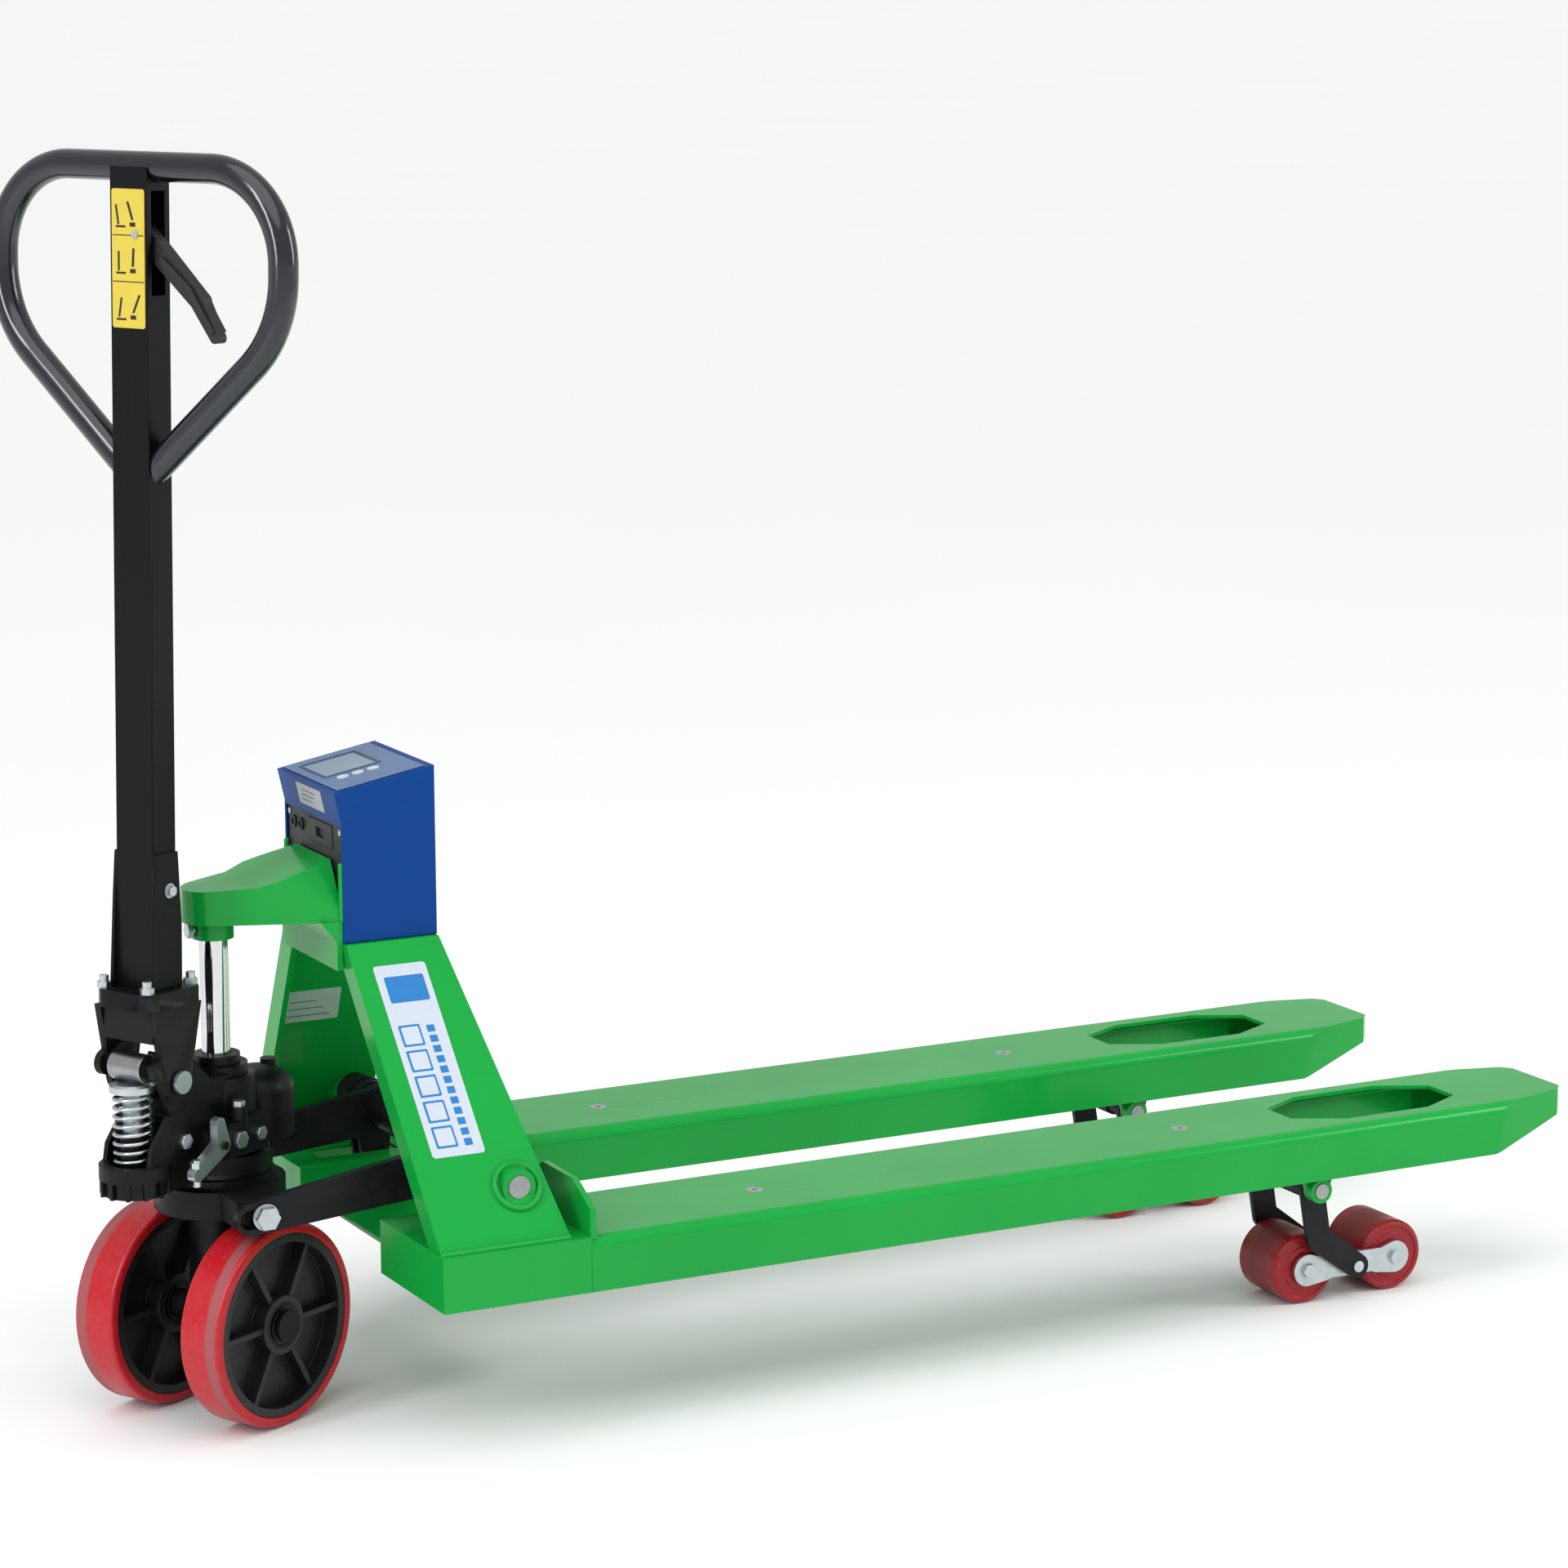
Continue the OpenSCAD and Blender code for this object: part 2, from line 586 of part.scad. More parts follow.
module release_lever() color("silver") steered() {
    difference() {
        side(-rel_in - 9, -rel_in) union() {
            link2([rel_x, rel_z], 9, [-92, 262], 7);
            link2([rel_x, rel_z], 9, [rel_x - 4, rel_z + 22], 6);
        }
        translate([rel_x, 0, rel_z]) bar_y(4 + running, -rel_in - 20, 0);
    }
    translate([-90, -rel_in - 4.5, 250]) cylinder(r = 4, h = 26);
    translate([-90, -rel_in - 4.5, 0]) hex_z(7, 268.5, 274);
}

// ---------- handle ----------
module tiller_bracket() color("dimgray") {
    tiller() difference() {
        translate([0, 0, -17]) linear_extrude(17) polygon([[-39, -24], [-26, -38], [30, -38],
            [39, -28], [39, 28], [30, 38], [-26, 38], [-39, 24]]);
    }
    steered() {
        difference() {
            for (s = [-1, 1]) side(s > 0 ? 30.5 : -38, s > 0 ? 38 : -30.5) difference() {
                union() {
                    polygon([[-128, 424], [-62, 424], [tiller_x + 18, tiller_z], [tiller_x - 18, tiller_z]]);
                    translate([tiller_x, tiller_z]) circle(18);
                    link2([press_x, press_z], 12, [tiller_x, tiller_z + 20], 16);
                }
            }
            translate([tiller_x, 0, tiller_z]) bar_y(tiller_pin_r + running, -60, 60);
        }
        // web between the walls, over the roller
        translate([-124, -31, 392]) cube([56, 62, 34]);
        // axle of the pressure roller
        translate([press_x, 0, press_z]) bar_y(5, -34, 34);
    }
}
module pressure_roller() color("silver") steered() translate([press_x, 0, press_z]) difference() {
    bar_y(press_r, -20, 20);
    bar_y(5 + running, -21, 21);
}
module column() color("dimgray") tiller() {
    difference() {
        translate([-column_depth / 2, -column_width / 2, 0])
            cube([column_depth, column_width, col_len]);
        translate([-column_depth / 2 + 3, -column_width / 2 + 3, 3])
            cube([column_depth - 6, column_width - 6, col_len - 6]);
        // slot of the control lever
        translate([-9, -column_width / 2 - 1, col_len - 118]) cube([18, 6, 96]);
        translate([0, lever_y, lever_z]) bar_x(lever_pin_r, -40, 40);
        translate([0, 0, col_len]) bar_y(loop_tube / 2 + 0.02, -60, 60);
    }
    // foot gussets
    for (s = [-1, 1]) translate([0, s > 0 ? column_width / 2 : -column_width / 2 - 4, 0]) side(0, 4)
        polygon([[-23, 0], [20, 0], [20, 60], [15, 130], [-15, 130], [-18, 90]]);
}
// half of the loop in (y, z), along its middle line
low_bend = 110.5;
leg_angle = 40.7;
module arc_tube(r, a0, a1) rotate([90, 0, 90]) rotate([0, 0, a0]) rotate_extrude(angle = a1 - a0)
    translate([r, 0]) circle(loop_tube / 2 - 0.02);
top_c = loop_half - loop_bend;
low_c = loop_half - low_bend;
low_z = col_len - 95;
leg_y = low_c + low_bend * cos(leg_angle - 90);
leg_z = low_z + low_bend * sin(leg_angle - 90);
leg_len = (leg_y - 12) / cos(leg_angle);
module handle_loop() color("black") tiller() {
    difference() {
        union() {
            translate([0, 0, col_len]) bar_y(loop_tube / 2, -top_c - 0.5, top_c + 0.5);
            for (s = [-1, 1]) mirror([0, s > 0 ? 0 : 1, 0]) {
                translate([0, top_c, col_len - loop_bend]) arc_tube(loop_bend, 0, 90);
                translate([0, loop_half, low_z - 0.5])
                    cylinder(r = loop_tube / 2, h = col_len - loop_bend - low_z + 1);
                translate([0, low_c, low_z]) arc_tube(low_bend, leg_angle - 90, 0);
                translate([0, leg_y, leg_z]) rotate([90 + leg_angle, 0, 0])
                    translate([0, 0, -0.5]) cylinder(r = loop_tube / 2, h = leg_len + 0.5);
            }
        }
        // mouths cut to the column
        translate([-column_depth / 2, -column_width / 2, 0])
            cube([column_depth, column_width, col_len - 120]);
    }
}
module foot_bolts() color("silver") tiller() for (x = [-30.5, 30.5], y = [-27, 27])
    translate([x, y, 0]) {
        hex_z(7, 0, 6);
        translate([0, 0, 5]) cylinder(r = 4.5, h = 7);
    }
module lever_pin() color("silver") tiller() translate([0, lever_y, lever_z])
    bar_x(lever_pin_r, -column_depth / 2 - 1.5, column_depth / 2 + 1.5);
module control_lever() color("black") tiller() translate([0, lever_y, lever_z]) difference() {
    union() {
        cross(-6, 6) {
            link2([0, 0], 9, [-14, -14], 9);
            link2([-12, -12], 10, [-66, -60], 8);
            link2([-64, -58], 8, [-86, -92], 5);
        }
        // finger flange
        cross(-9, 9) polygon([[-26, -20], [-60, -46], [-88, -86], [-84, -88], [-56, -50], [-22, -25]]);
    }
    bar_x(lever_pin_r + running, -20, 20);
}

// ---------- wheels ----------
module wheel_at(s) steered() translate([-wheel_trail, s * (wheel_gap + wheel_width) / 2, axle_z])
    rotate([s > 0 ? -90 : 90, 0, 0]) children();
rim_r = wheel_radius - 10;
bearing_r = 22;
module rim(s) wheel_at(s) {
    w = wheel_width;
    difference() {
        union() {
            difference() {
                translate([0, 0, -w / 2 + 1]) cylinder(r = rim_r, h = w - 2);
                translate([0, 0, -w / 2]) cylinder(r = rim_r - 9, h = w);
            }
            translate([0, 0, -5]) cylinder(r = rim_r - 5, h = 10);
            translate([0, 0, -w / 2 + 2]) cylinder(r = 29, h = w - 4);
            for (a = [0 : 60 : 300]) rotate([0, 0, a]) translate([24, -3, -w / 2 + 5])
                cube([rim_r - 30, 6, w - 10]);
        }
        translate([0, 0, -w / 2 - 1]) cylinder(r = bearing_r, h = w + 2);
    }
}
module tyre(s) wheel_at(s) rotate_extrude() polygon([[rim_r, -wheel_width / 2],
    [wheel_radius - 4, -wheel_width / 2], [wheel_radius - 1.2, -wheel_width / 2 + 1.2],
    [wheel_radius, -wheel_width / 2 + 4], [wheel_radius, wheel_width / 2 - 4],
    [wheel_radius - 1.2, wheel_width / 2 - 1.2], [wheel_radius - 4, wheel_width / 2],
    [rim_r, wheel_width / 2]]);
module bearings(s) wheel_at(s) difference() {
    translate([0, 0, -wheel_width / 2 + 2]) cylinder(r = bearing_r, h = wheel_width - 4);
    translate([0, 0, -wheel_width / 2]) cylinder(r = wheel_axle_r + running, h = wheel_width);
    for (z = [-1, 1]) translate([0, 0, z * (wheel_width / 2 - 2)]) difference() {
        translate([0, 0, -1]) cylinder(r = 19.5, h = 2);
        translate([0, 0, -2]) cylinder(r = 15.5, h = 4);
    }
}

// ---------- lift linkage ----------
arm_h = 16;
module rocker() color("dimgray") truck() translate([shaft_x, 0, shaft_z]) difference() {
    union() {
        bar_y(rocker_r, -boss_in + side_gap, boss_in - side_gap);
        for (s = [-1, 1]) mirror([0, s > 0 ? 0 : 1, 0]) {
            rotate([0, -arm_drop, 0]) side(arm_in, arm_in + arm_t)
                link2([0, 0], 24, [-arm_reach - 13, 0], arm_h);
            // lower arm that pulls the push rod
            side(rod_y - 14, rod_y - 8) link2([0, 0], 22, [0, -rod_drop], 11);
            side(rod_y + 8, rod_y + 14) link2([0, 0], 22, [0, -rod_drop], 11);
            translate([0, 0, -rod_drop]) bar_y(rod_pin_r, rod_y - 15, rod_y + 15);
        }
    }
    bar_y(shaft_r + running, -300, 300);
    // slots of the front pins
    rotate([0, -arm_drop, 0]) {
        for (x = [-arm_reach - 15.5, -arm_reach + 2.5])
            translate([x, 0, 0]) bar_y(pin_r + slot_play, -300, 300);
        translate([-arm_reach - 15.5, -300, -pin_r - slot_play]) cube([18, 600, 2 * (pin_r + slot_play)]);
    }
}
rod_dx = rod_end_x - shaft_x;
rod_dz = rod_end_z - rod_z;
rod_len = sqrt(rod_dx * rod_dx + rod_dz * rod_dz);
rod_tilt = atan(-rod_dz / rod_dx);
eye_play = 1.4;
eye_rise = 8.5;
module push_rod(s) truck() translate([shaft_x, s * rod_y, rod_z]) rotate([0, rod_tilt, 0]) difference() {
    union() {
        bar_x(rod_r, 0, rod_len);
        bar_y(10, -7, 7);
        for (z = [0, eye_rise]) translate([rod_len, 0, z]) bar_y(11, -7, 7);
        translate([rod_len - 11, -7, 0]) cube([22, 14, eye_rise]);
    }
    bar_y(rod_pin_r + running, -20, 20);
    for (z = [0, eye_rise]) translate([rod_len, 0, z]) bar_y(rod_pin_r + eye_play, -20, 20);
    translate([rod_len - rod_pin_r - eye_play, -20, 0]) cube([2 * (rod_pin_r + eye_play), 40, eye_rise]);
}
knee = [lev_x + 9, (lev_z + bog_z) / 2 - 10];
module roller_lever(s) truck() translate([0, s * fork_y, 0]) difference() {
    union() {
        for (t = [-1, 1]) side(t > 0 ? lev_in : -lev_in - lev_t, t > 0 ? lev_in + lev_t : -lev_in) {
            link2([lev_x, lev_z], 14, knee, 14);
            link2(knee, 14, [bog_x, bog_z], 13);
            link2([lev_x, lev_z], 14, [rod_end_x, rod_end_z], 11);
        }
        lever_boss() bar_y(13, -lev_in - 1, lev_in + 1);
        translate([rod_end_x, 0, rod_end_z]) bar_y(rod_pin_r, -lev_in - 1, lev_in + 1);
    }
    lever_boss() bar_y(lev_pin_r + running, -lev_in - 10, lev_in + 10);
    translate([bog_x, 0, bog_z]) bar_y(6, -lev_in - 10, lev_in + 10);
    // the push rod comes in from the heel here
    translate([lev_x, (rod_y - fork_y) * s, lev_z]) difference() {
        translate([-60, -9, -20]) cube([120, 18, 40]);
        bar_y(11, -10, 10);
    }
}
module bogie_pin(s) color("silver") truck() translate([bog_x, s * fork_y, bog_z])
    bar_y(6 - running, -lev_in - lev_t - 2, lev_in + lev_t + 2);
half_sp = roller_spacing / 2;
module bogie(s) color("silver") truck() translate([bog_x, s * fork_y, bog_z]) difference() {
    union() {
        for (t = [-1, 1])
            side(t > 0 ? plate_in : -plate_in - plate_t, t > 0 ? plate_in + plate_t : -plate_in) {
            link2([-half_sp, 0], 17, [-half_sp + 22, -2], 12);
            link2([half_sp, 0], 17, [half_sp - 22, -2], 12);
            link2([-half_sp + 20, 0], 12, [half_sp - 20, 0], 12);
        }
        for (x = [-half_sp, half_sp]) translate([x, 0, 0]) {
            bar_y(axle_r, -plate_in - plate_t, plate_in + plate_t);
            for (t = [-1, 1]) mirror([0, t > 0 ? 0 : 1, 0])
                hex_y(8, plate_in + plate_t, plate_in + plate_t + axle_head);
        }
    }
    bar_y(6, -60, 60);
}
module roller(s, d) truck() translate([bog_x + d * half_sp, s * fork_y, bog_z]) difference() {
    translate([0, roller_width / 2, 0]) rotate([90, 0, 0]) rotate_extrude() polygon([
        [axle_r + running, 0], [24, 0], [24, 1.5], [roller_radius - 7, 1.5], [roller_radius - 7, 0],
        [roller_radius - 3, 0], [roller_radius, 3], [roller_radius, roller_width - 3],
        [roller_radius - 3, roller_width], [roller_radius - 7, roller_width],
        [roller_radius - 7, roller_width - 1.5], [24, roller_width - 1.5], [24, roller_width],
        [axle_r + running, roller_width]]);
}

// ---------- one line per sub-part ----------
color("green") truck() cheek(1);  // cheek_left
color("green") truck() cheek(-1);  // cheek_right
cross_member();
lift_arm();
color("green") truck() fork_base(1);  // fork_base_left
color("green") truck() fork_base(-1);  // fork_base_right
color("green") truck() fork_cover(1);  // fork_cover_left
color("green") truck() fork_cover(-1);  // fork_cover_right
load_cells();
cover_screws();
rocker_shaft();
lever_pivot_pins();
piston_rod();
rod_set_screw();
indicator_housing();
front_panel();
keypad();
display_window();
panel_screws();
battery_pack();
color("white") key(0);  // key_zero
color("white") key(1);  // key_tare
color("white") key(2);  // key_power
steering_collar();
collar_bolts();
thrust_bearing();
pump_body();
reservoir();
pump_fasteners();
wheel_axle();
tiller_pivot_pin();
plunger();
pump_spring();
release_lever();
tiller_bracket();
column();
handle_loop();
foot_bolts();
lever_pin();
control_lever();
pressure_roller();
color("dimgray") rim(1);  // rim_left
color("dimgray") rim(-1);  // rim_right
color("red") tyre(1);  // tyre_left
color("red") tyre(-1);  // tyre_right
color("silver") bearings(1);  // bearings_left
color("silver") bearings(-1);  // bearings_right
rocker();
color("gray") push_rod(1);  // push_rod_left
color("gray") push_rod(-1);  // push_rod_right
color("dimgray") roller_lever(1);  // roller_lever_left
color("dimgray") roller_lever(-1);  // roller_lever_right
bogie_pin(1);  // bogie_pin_left
bogie_pin(-1);  // bogie_pin_right
bogie(1);  // bogie_left
bogie(-1);  // bogie_right
color("brown") roller(1, 1);  // roller_left_front
color("brown") roller(1, -1);  // roller_left_rear
color("brown") roller(-1, 1);  // roller_right_front
color("brown") roller(-1, -1);  // roller_right_rear
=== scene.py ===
import json
import math
import bpy
from mathutils import Matrix, Vector


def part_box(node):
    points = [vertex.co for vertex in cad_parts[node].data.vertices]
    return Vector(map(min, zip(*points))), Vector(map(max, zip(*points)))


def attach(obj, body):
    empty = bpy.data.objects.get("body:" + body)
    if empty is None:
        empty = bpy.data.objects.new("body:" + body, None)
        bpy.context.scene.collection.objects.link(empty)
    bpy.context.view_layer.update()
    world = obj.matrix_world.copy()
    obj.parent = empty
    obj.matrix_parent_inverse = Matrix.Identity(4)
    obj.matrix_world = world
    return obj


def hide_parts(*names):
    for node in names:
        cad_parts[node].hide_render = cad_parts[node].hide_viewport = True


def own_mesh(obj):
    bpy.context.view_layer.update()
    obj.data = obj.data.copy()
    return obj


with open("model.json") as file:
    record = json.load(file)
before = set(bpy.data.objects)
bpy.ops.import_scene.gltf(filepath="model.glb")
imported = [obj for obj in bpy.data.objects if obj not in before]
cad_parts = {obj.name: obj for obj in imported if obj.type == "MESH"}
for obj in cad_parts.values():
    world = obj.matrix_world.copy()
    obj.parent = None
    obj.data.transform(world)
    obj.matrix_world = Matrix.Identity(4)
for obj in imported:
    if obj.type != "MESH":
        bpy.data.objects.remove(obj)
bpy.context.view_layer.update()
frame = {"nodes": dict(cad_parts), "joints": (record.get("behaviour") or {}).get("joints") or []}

nodes = frame["nodes"]
joints = {row["name"]: row for row in frame["joints"]}
MM = 0.001

# ---------------------------------------------------------------- places
ram = (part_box("piston_rod")[0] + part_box("piston_rod")[1]) / 2
AXIS_X = ram.x
axle_line = joints["wheel_left_turn"]["axis"]
turn = math.atan2(-axle_line[0], axle_line[1])

# the steered unit turns about the ram, and the tiller leans back on its pivot
PIVOT_X = -95 * MM
PIVOT_Z = 440 * MM
TILLER_LEAN = math.radians(1.6)
STEERED = Matrix.Translation((AXIS_X, 0, 0)) @ Matrix.Rotation(turn, 4, "Z")
TILLER = STEERED @ Matrix.Translation((PIVOT_X, 0, PIVOT_Z)) @ Matrix.Rotation(TILLER_LEAN, 4, "Y")

# the cheek plates lean inwards from the forks to the frame's top
CHEEK_LOW = 198 * MM
CHEEK_HIGH = 465 * MM
CHEEK_FOOT = 250 * MM
CHEEK_HEAD = 80 * MM
LEAN_IN = (CHEEK_FOOT - CHEEK_HEAD) / (CHEEK_HIGH - CHEEK_LOW)


def on_cheek(side, depth=0.0):
    """A frame whose x runs along the truck, y up the cheek and z out of its face."""
    up_dir = Vector((0, -side * LEAN_IN, 1)).normalized()
    out = Vector((1, 0, 0)).cross(up_dir)
    base = Vector((AXIS_X, side * (CHEEK_FOOT - depth), CHEEK_LOW))
    return Matrix(((1, up_dir.x, out.x, base.x), (0, up_dir.y, out.y, base.y),
                   (0, up_dir.z, out.z, base.z), (0, 0, 0, 1)))


# ---------------------------------------------------------------- camera
# a long lens from the near front corner, ten degrees above the truck
cam_data = bpy.data.cameras.new("camera")
cam = bpy.data.objects.new("camera", cam_data)
bpy.context.scene.collection.objects.link(cam)
right = Vector((0.8885, -0.4588, -0.0048)).normalized()
back = Vector((-0.4511, -0.8754, 0.1738)).normalized()
up = back.cross(right).normalized()
right = up.cross(back).normalized()
cam.matrix_world = Matrix((
    (right.x, up.x, back.x, AXIS_X - 1.5277),
    (right.y, up.y, back.y, -4.1654),
    (right.z, up.z, back.z, 1.4527),
    (0, 0, 0, 1)))
cam_data.sensor_width = 36
cam_data.lens = 107.59
cam_data.shift_y = -0.0392
cam_data.clip_end = 1000
bpy.context.scene.camera = cam


# ---------------------------------------------------------------- materials
MIX_A, MIX_B, MIX_RESULT = 6, 7, 2


def lin(code):
    """An sRGB hex colour as linear RGBA."""
    rgb = [int(code[i:i + 2], 16) / 255 for i in (1, 3, 5)]
    return tuple(c / 12.92 if c <= 0.04045 else ((c + 0.055) / 1.055) ** 2.4 for c in rgb) + (1.0,)


def add(tree, kind, inputs=None, **settings):
    """Adds one node, sets its properties, and fills or links its inputs."""
    made = tree.nodes.new(kind)
    for name, value in settings.items():
        setattr(made, name, value)
    for name, value in (inputs or {}).items():
        if isinstance(value, bpy.types.NodeSocket):
            tree.links.new(value, made.inputs[name])
        else:
            made.inputs[name].default_value = value
    return made


def open_material(name):
    """An empty material, its node tree and the piece's own coordinates."""
    made = bpy.data.materials.new(name)
    made.use_nodes = True
    made.node_tree.nodes.clear()
    where = add(made.node_tree, "ShaderNodeTexCoord").outputs["Object"]
    return made, made.node_tree, where


def close_material(tree, inputs):
    """Adds the shader with its constants and links, and the output."""
    shader = add(tree, "ShaderNodeBsdfPrincipled", inputs)
    add(tree, "ShaderNodeOutputMaterial", {"Surface": shader.outputs["BSDF"]})


def paint(name, colour, shade, rough, coat=0.0, shine=0.1, peel=2.2 * MM, depth=0.018 * MM):
    """Powder coat: slow clouds of a second shade, uneven gloss and an orange-peel skin 1 to 3 mm across."""
    made, tree, where = open_material(name)
    clouds = add(tree, "ShaderNodeTexNoise", {"Vector": where, "Scale": 1 / (180 * MM), "Detail": 4})
    share = add(tree, "ShaderNodeMapRange", {"Value": clouds.outputs["Fac"], "From Min": 0.35,
                                             "From Max": 0.7})
    tint = add(tree, "ShaderNodeMix", {0: share.outputs[0], MIX_A: lin(colour), MIX_B: lin(shade)},
               data_type="RGBA")
    dust = add(tree, "ShaderNodeTexNoise", {"Vector": where, "Scale": 1 / (6 * MM), "Detail": 2})
    gloss = add(tree, "ShaderNodeMapRange", {"Value": dust.outputs["Fac"], "To Min": rough - 0.04,
                                             "To Max": rough + 0.06})
    ripple = add(tree, "ShaderNodeTexNoise", {"Vector": where, "Scale": 1 / peel, "Detail": 2})
    skin = add(tree, "ShaderNodeBump", {"Height": ripple.outputs["Fac"], "Distance": depth, "Strength": 0.6})
    close_material(tree, {"Base Color": tint.outputs[MIX_RESULT], "Roughness": gloss.outputs[0],
                          "Normal": skin.outputs["Normal"], "Coat Weight": coat, "Coat Roughness": 0.12,
                          "Specular IOR Level": shine})
    return made


def cast(name, colour, dust, rough):
    """Painted iron: sand-mould grain with oily and dusty patches.

    Moulding sand is about 0.4 mm, and the grain is drawn at 1.8 mm so that it shows.
    """
    made, tree, where = open_material(name)
    patch = add(tree, "ShaderNodeTexNoise", {"Vector": where, "Scale": 1 / (45 * MM), "Detail": 5,
                                             "Roughness": 0.6})
    share = add(tree, "ShaderNodeMapRange", {"Value": patch.outputs["Fac"], "From Min": 0.5, "From Max": 0.75,
                                             "To Max": 0.6})
    tint = add(tree, "ShaderNodeMix", {0: share.outputs[0], MIX_A: lin(colour), MIX_B: lin(dust)},
               data_type="RGBA")
    gloss = add(tree, "ShaderNodeMapRange", {"Value": patch.outputs["Fac"], "From Min": 0.3, "From Max": 0.7,
                                             "To Min": rough - 0.15, "To Max": rough + 0.15})
    sand = add(tree, "ShaderNodeTexNoise", {"Vector": where, "Scale": 1 / (1.8 * MM), "Detail": 4,
                                            "Roughness": 0.65})
    skin = add(tree, "ShaderNodeBump", {"Height": sand.outputs["Fac"], "Distance": 0.25 * MM,
                                        "Strength": 0.5})
    close_material(tree, {"Base Color": tint.outputs[MIX_RESULT], "Roughness": gloss.outputs[0],
                          "Normal": skin.outputs["Normal"], "Specular IOR Level": 0.2})
    return made


def metal(name, colour, patch_colour, rough, scratch=0.08 * MM):
    """Bare or plated metal: 12 mm patches that differ in shade and gloss, over a fine grain.

    Plating crystals and tool marks are about 0.1 mm, and are drawn at 1.1 mm so that they show.
    """
    made, tree, where = open_material(name)
    patch = add(tree, "ShaderNodeTexNoise", {"Vector": where, "Scale": 1 / (12 * MM), "Detail": 4})
    tint = add(tree, "ShaderNodeMix", {0: patch.outputs["Fac"], MIX_A: lin(colour), MIX_B: lin(patch_colour)},
               data_type="RGBA")
    gloss = add(tree, "ShaderNodeMapRange", {"Value": patch.outputs["Fac"], "To Min": rough - 0.08,
                                             "To Max": rough + 0.1})
    fine = add(tree, "ShaderNodeTexNoise", {"Vector": where, "Scale": 1 / (1.1 * MM), "Detail": 3})
    skin = add(tree, "ShaderNodeBump", {"Height": fine.outputs["Fac"], "Distance": scratch, "Strength": 0.5})
    close_material(tree, {"Base Color": tint.outputs[MIX_RESULT], "Roughness": gloss.outputs[0],
                          "Normal": skin.outputs["Normal"], "Metallic": 1.0})
    return made


def plastic(name, colour, other, rough):
    """Moulded plastic: a dull, slightly uneven surface.

    The mould's spark grain is about 0.2 mm, and is drawn at 0.9 mm so that it shows.
    """
    made, tree, where = open_material(name)
    clouds = add(tree, "ShaderNodeTexNoise", {"Vector": where, "Scale": 1 / (30 * MM), "Detail": 4})
    tint = add(tree, "ShaderNodeMix", {0: clouds.outputs["Fac"], MIX_A: lin(colour), MIX_B: lin(other)},
               data_type="RGBA")
    touch = add(tree, "ShaderNodeTexNoise", {"Vector": where, "Scale": 1 / (10 * MM), "Detail": 3})
    gloss = add(tree, "ShaderNodeMapRange", {"Value": touch.outputs["Fac"], "To Min": rough - 0.06,
                                             "To Max": rough + 0.08})
    spark = add(tree, "ShaderNodeTexNoise", {"Vector": where, "Scale": 1 / (0.9 * MM), "Detail": 2})
    skin = add(tree, "ShaderNodeBump", {"Height": spark.outputs["Fac"], "Distance": 0.08 * MM,
                                        "Strength": 0.5})
    close_material(tree, {"Base Color": tint.outputs[MIX_RESULT], "Roughness": gloss.outputs[0],
                          "Normal": skin.outputs["Normal"], "IOR": 1.5})
    return made


def printed_film(name, colour, other, rough=0.35):
    """Printed film: even ink with a soft sheen, faint scuffs 8 mm long and a 4 mm ripple from laying it."""
    made, tree, where = open_material(name)
    ink = add(tree, "ShaderNodeTexNoise", {"Vector": where, "Scale": 1 / (20 * MM), "Detail": 4})
    tint = add(tree, "ShaderNodeMix", {0: ink.outputs["Fac"], MIX_A: lin(colour), MIX_B: lin(other)},
               data_type="RGBA")
    scuff = add(tree, "ShaderNodeTexNoise", {"Vector": where, "Scale": 1 / (8 * MM), "Detail": 3})
    gloss = add(tree, "ShaderNodeMapRange", {"Value": scuff.outputs["Fac"], "To Min": rough - 0.1,
                                             "To Max": rough + 0.12})
    ripple = add(tree, "ShaderNodeTexNoise", {"Vector": where, "Scale": 1 / (4 * MM), "Detail": 2})
    skin = add(tree, "ShaderNodeBump", {"Height": ripple.outputs["Fac"], "Distance": 0.04 * MM,
                                        "Strength": 0.4})
    close_material(tree, {"Base Color": tint.outputs[MIX_RESULT], "Roughness": gloss.outputs[0],
                          "Normal": skin.outputs["Normal"], "IOR": 1.45})
    return made


def shoulder_band(tree, edge):
    """One scuffed band near the outer shoulder of a tyre, from a share of its half width."""
    rise = add(tree, "ShaderNodeMapRange", {"Value": edge, "From Min": 0.3, "From Max": 0.42, "To Max": 0.8})
    fall = add(tree, "ShaderNodeMapRange", {"Value": edge, "From Min": 0.8, "From Max": 0.9, "To Min": 0.8,
                                            "To Max": 0.0})
    return add(tree, "ShaderNodeMath", {0: rise.outputs[0], 1: fall.outputs[0]},
               operation="MINIMUM").outputs[0]


def middle_band(tree, edge):
    """A scuffed middle that fades in two steps to both ends of a load roller."""
    worn_middle = add(tree, "ShaderNodeMapRange", {"Value": edge, "From Min": 0.35, "From Max": 0.6,
                                                   "To Min": 0.52, "To Max": 0.0})
    worn_side = add(tree, "ShaderNodeMapRange", {"Value": edge, "From Min": 0.6, "From Max": 0.9,
                                                 "To Min": 0.12, "To Max": 0.0})
    return add(tree, "ShaderNodeMath", {0: worn_middle.outputs[0], 1: worn_side.outputs[0]},
               operation="ADD").outputs[0]


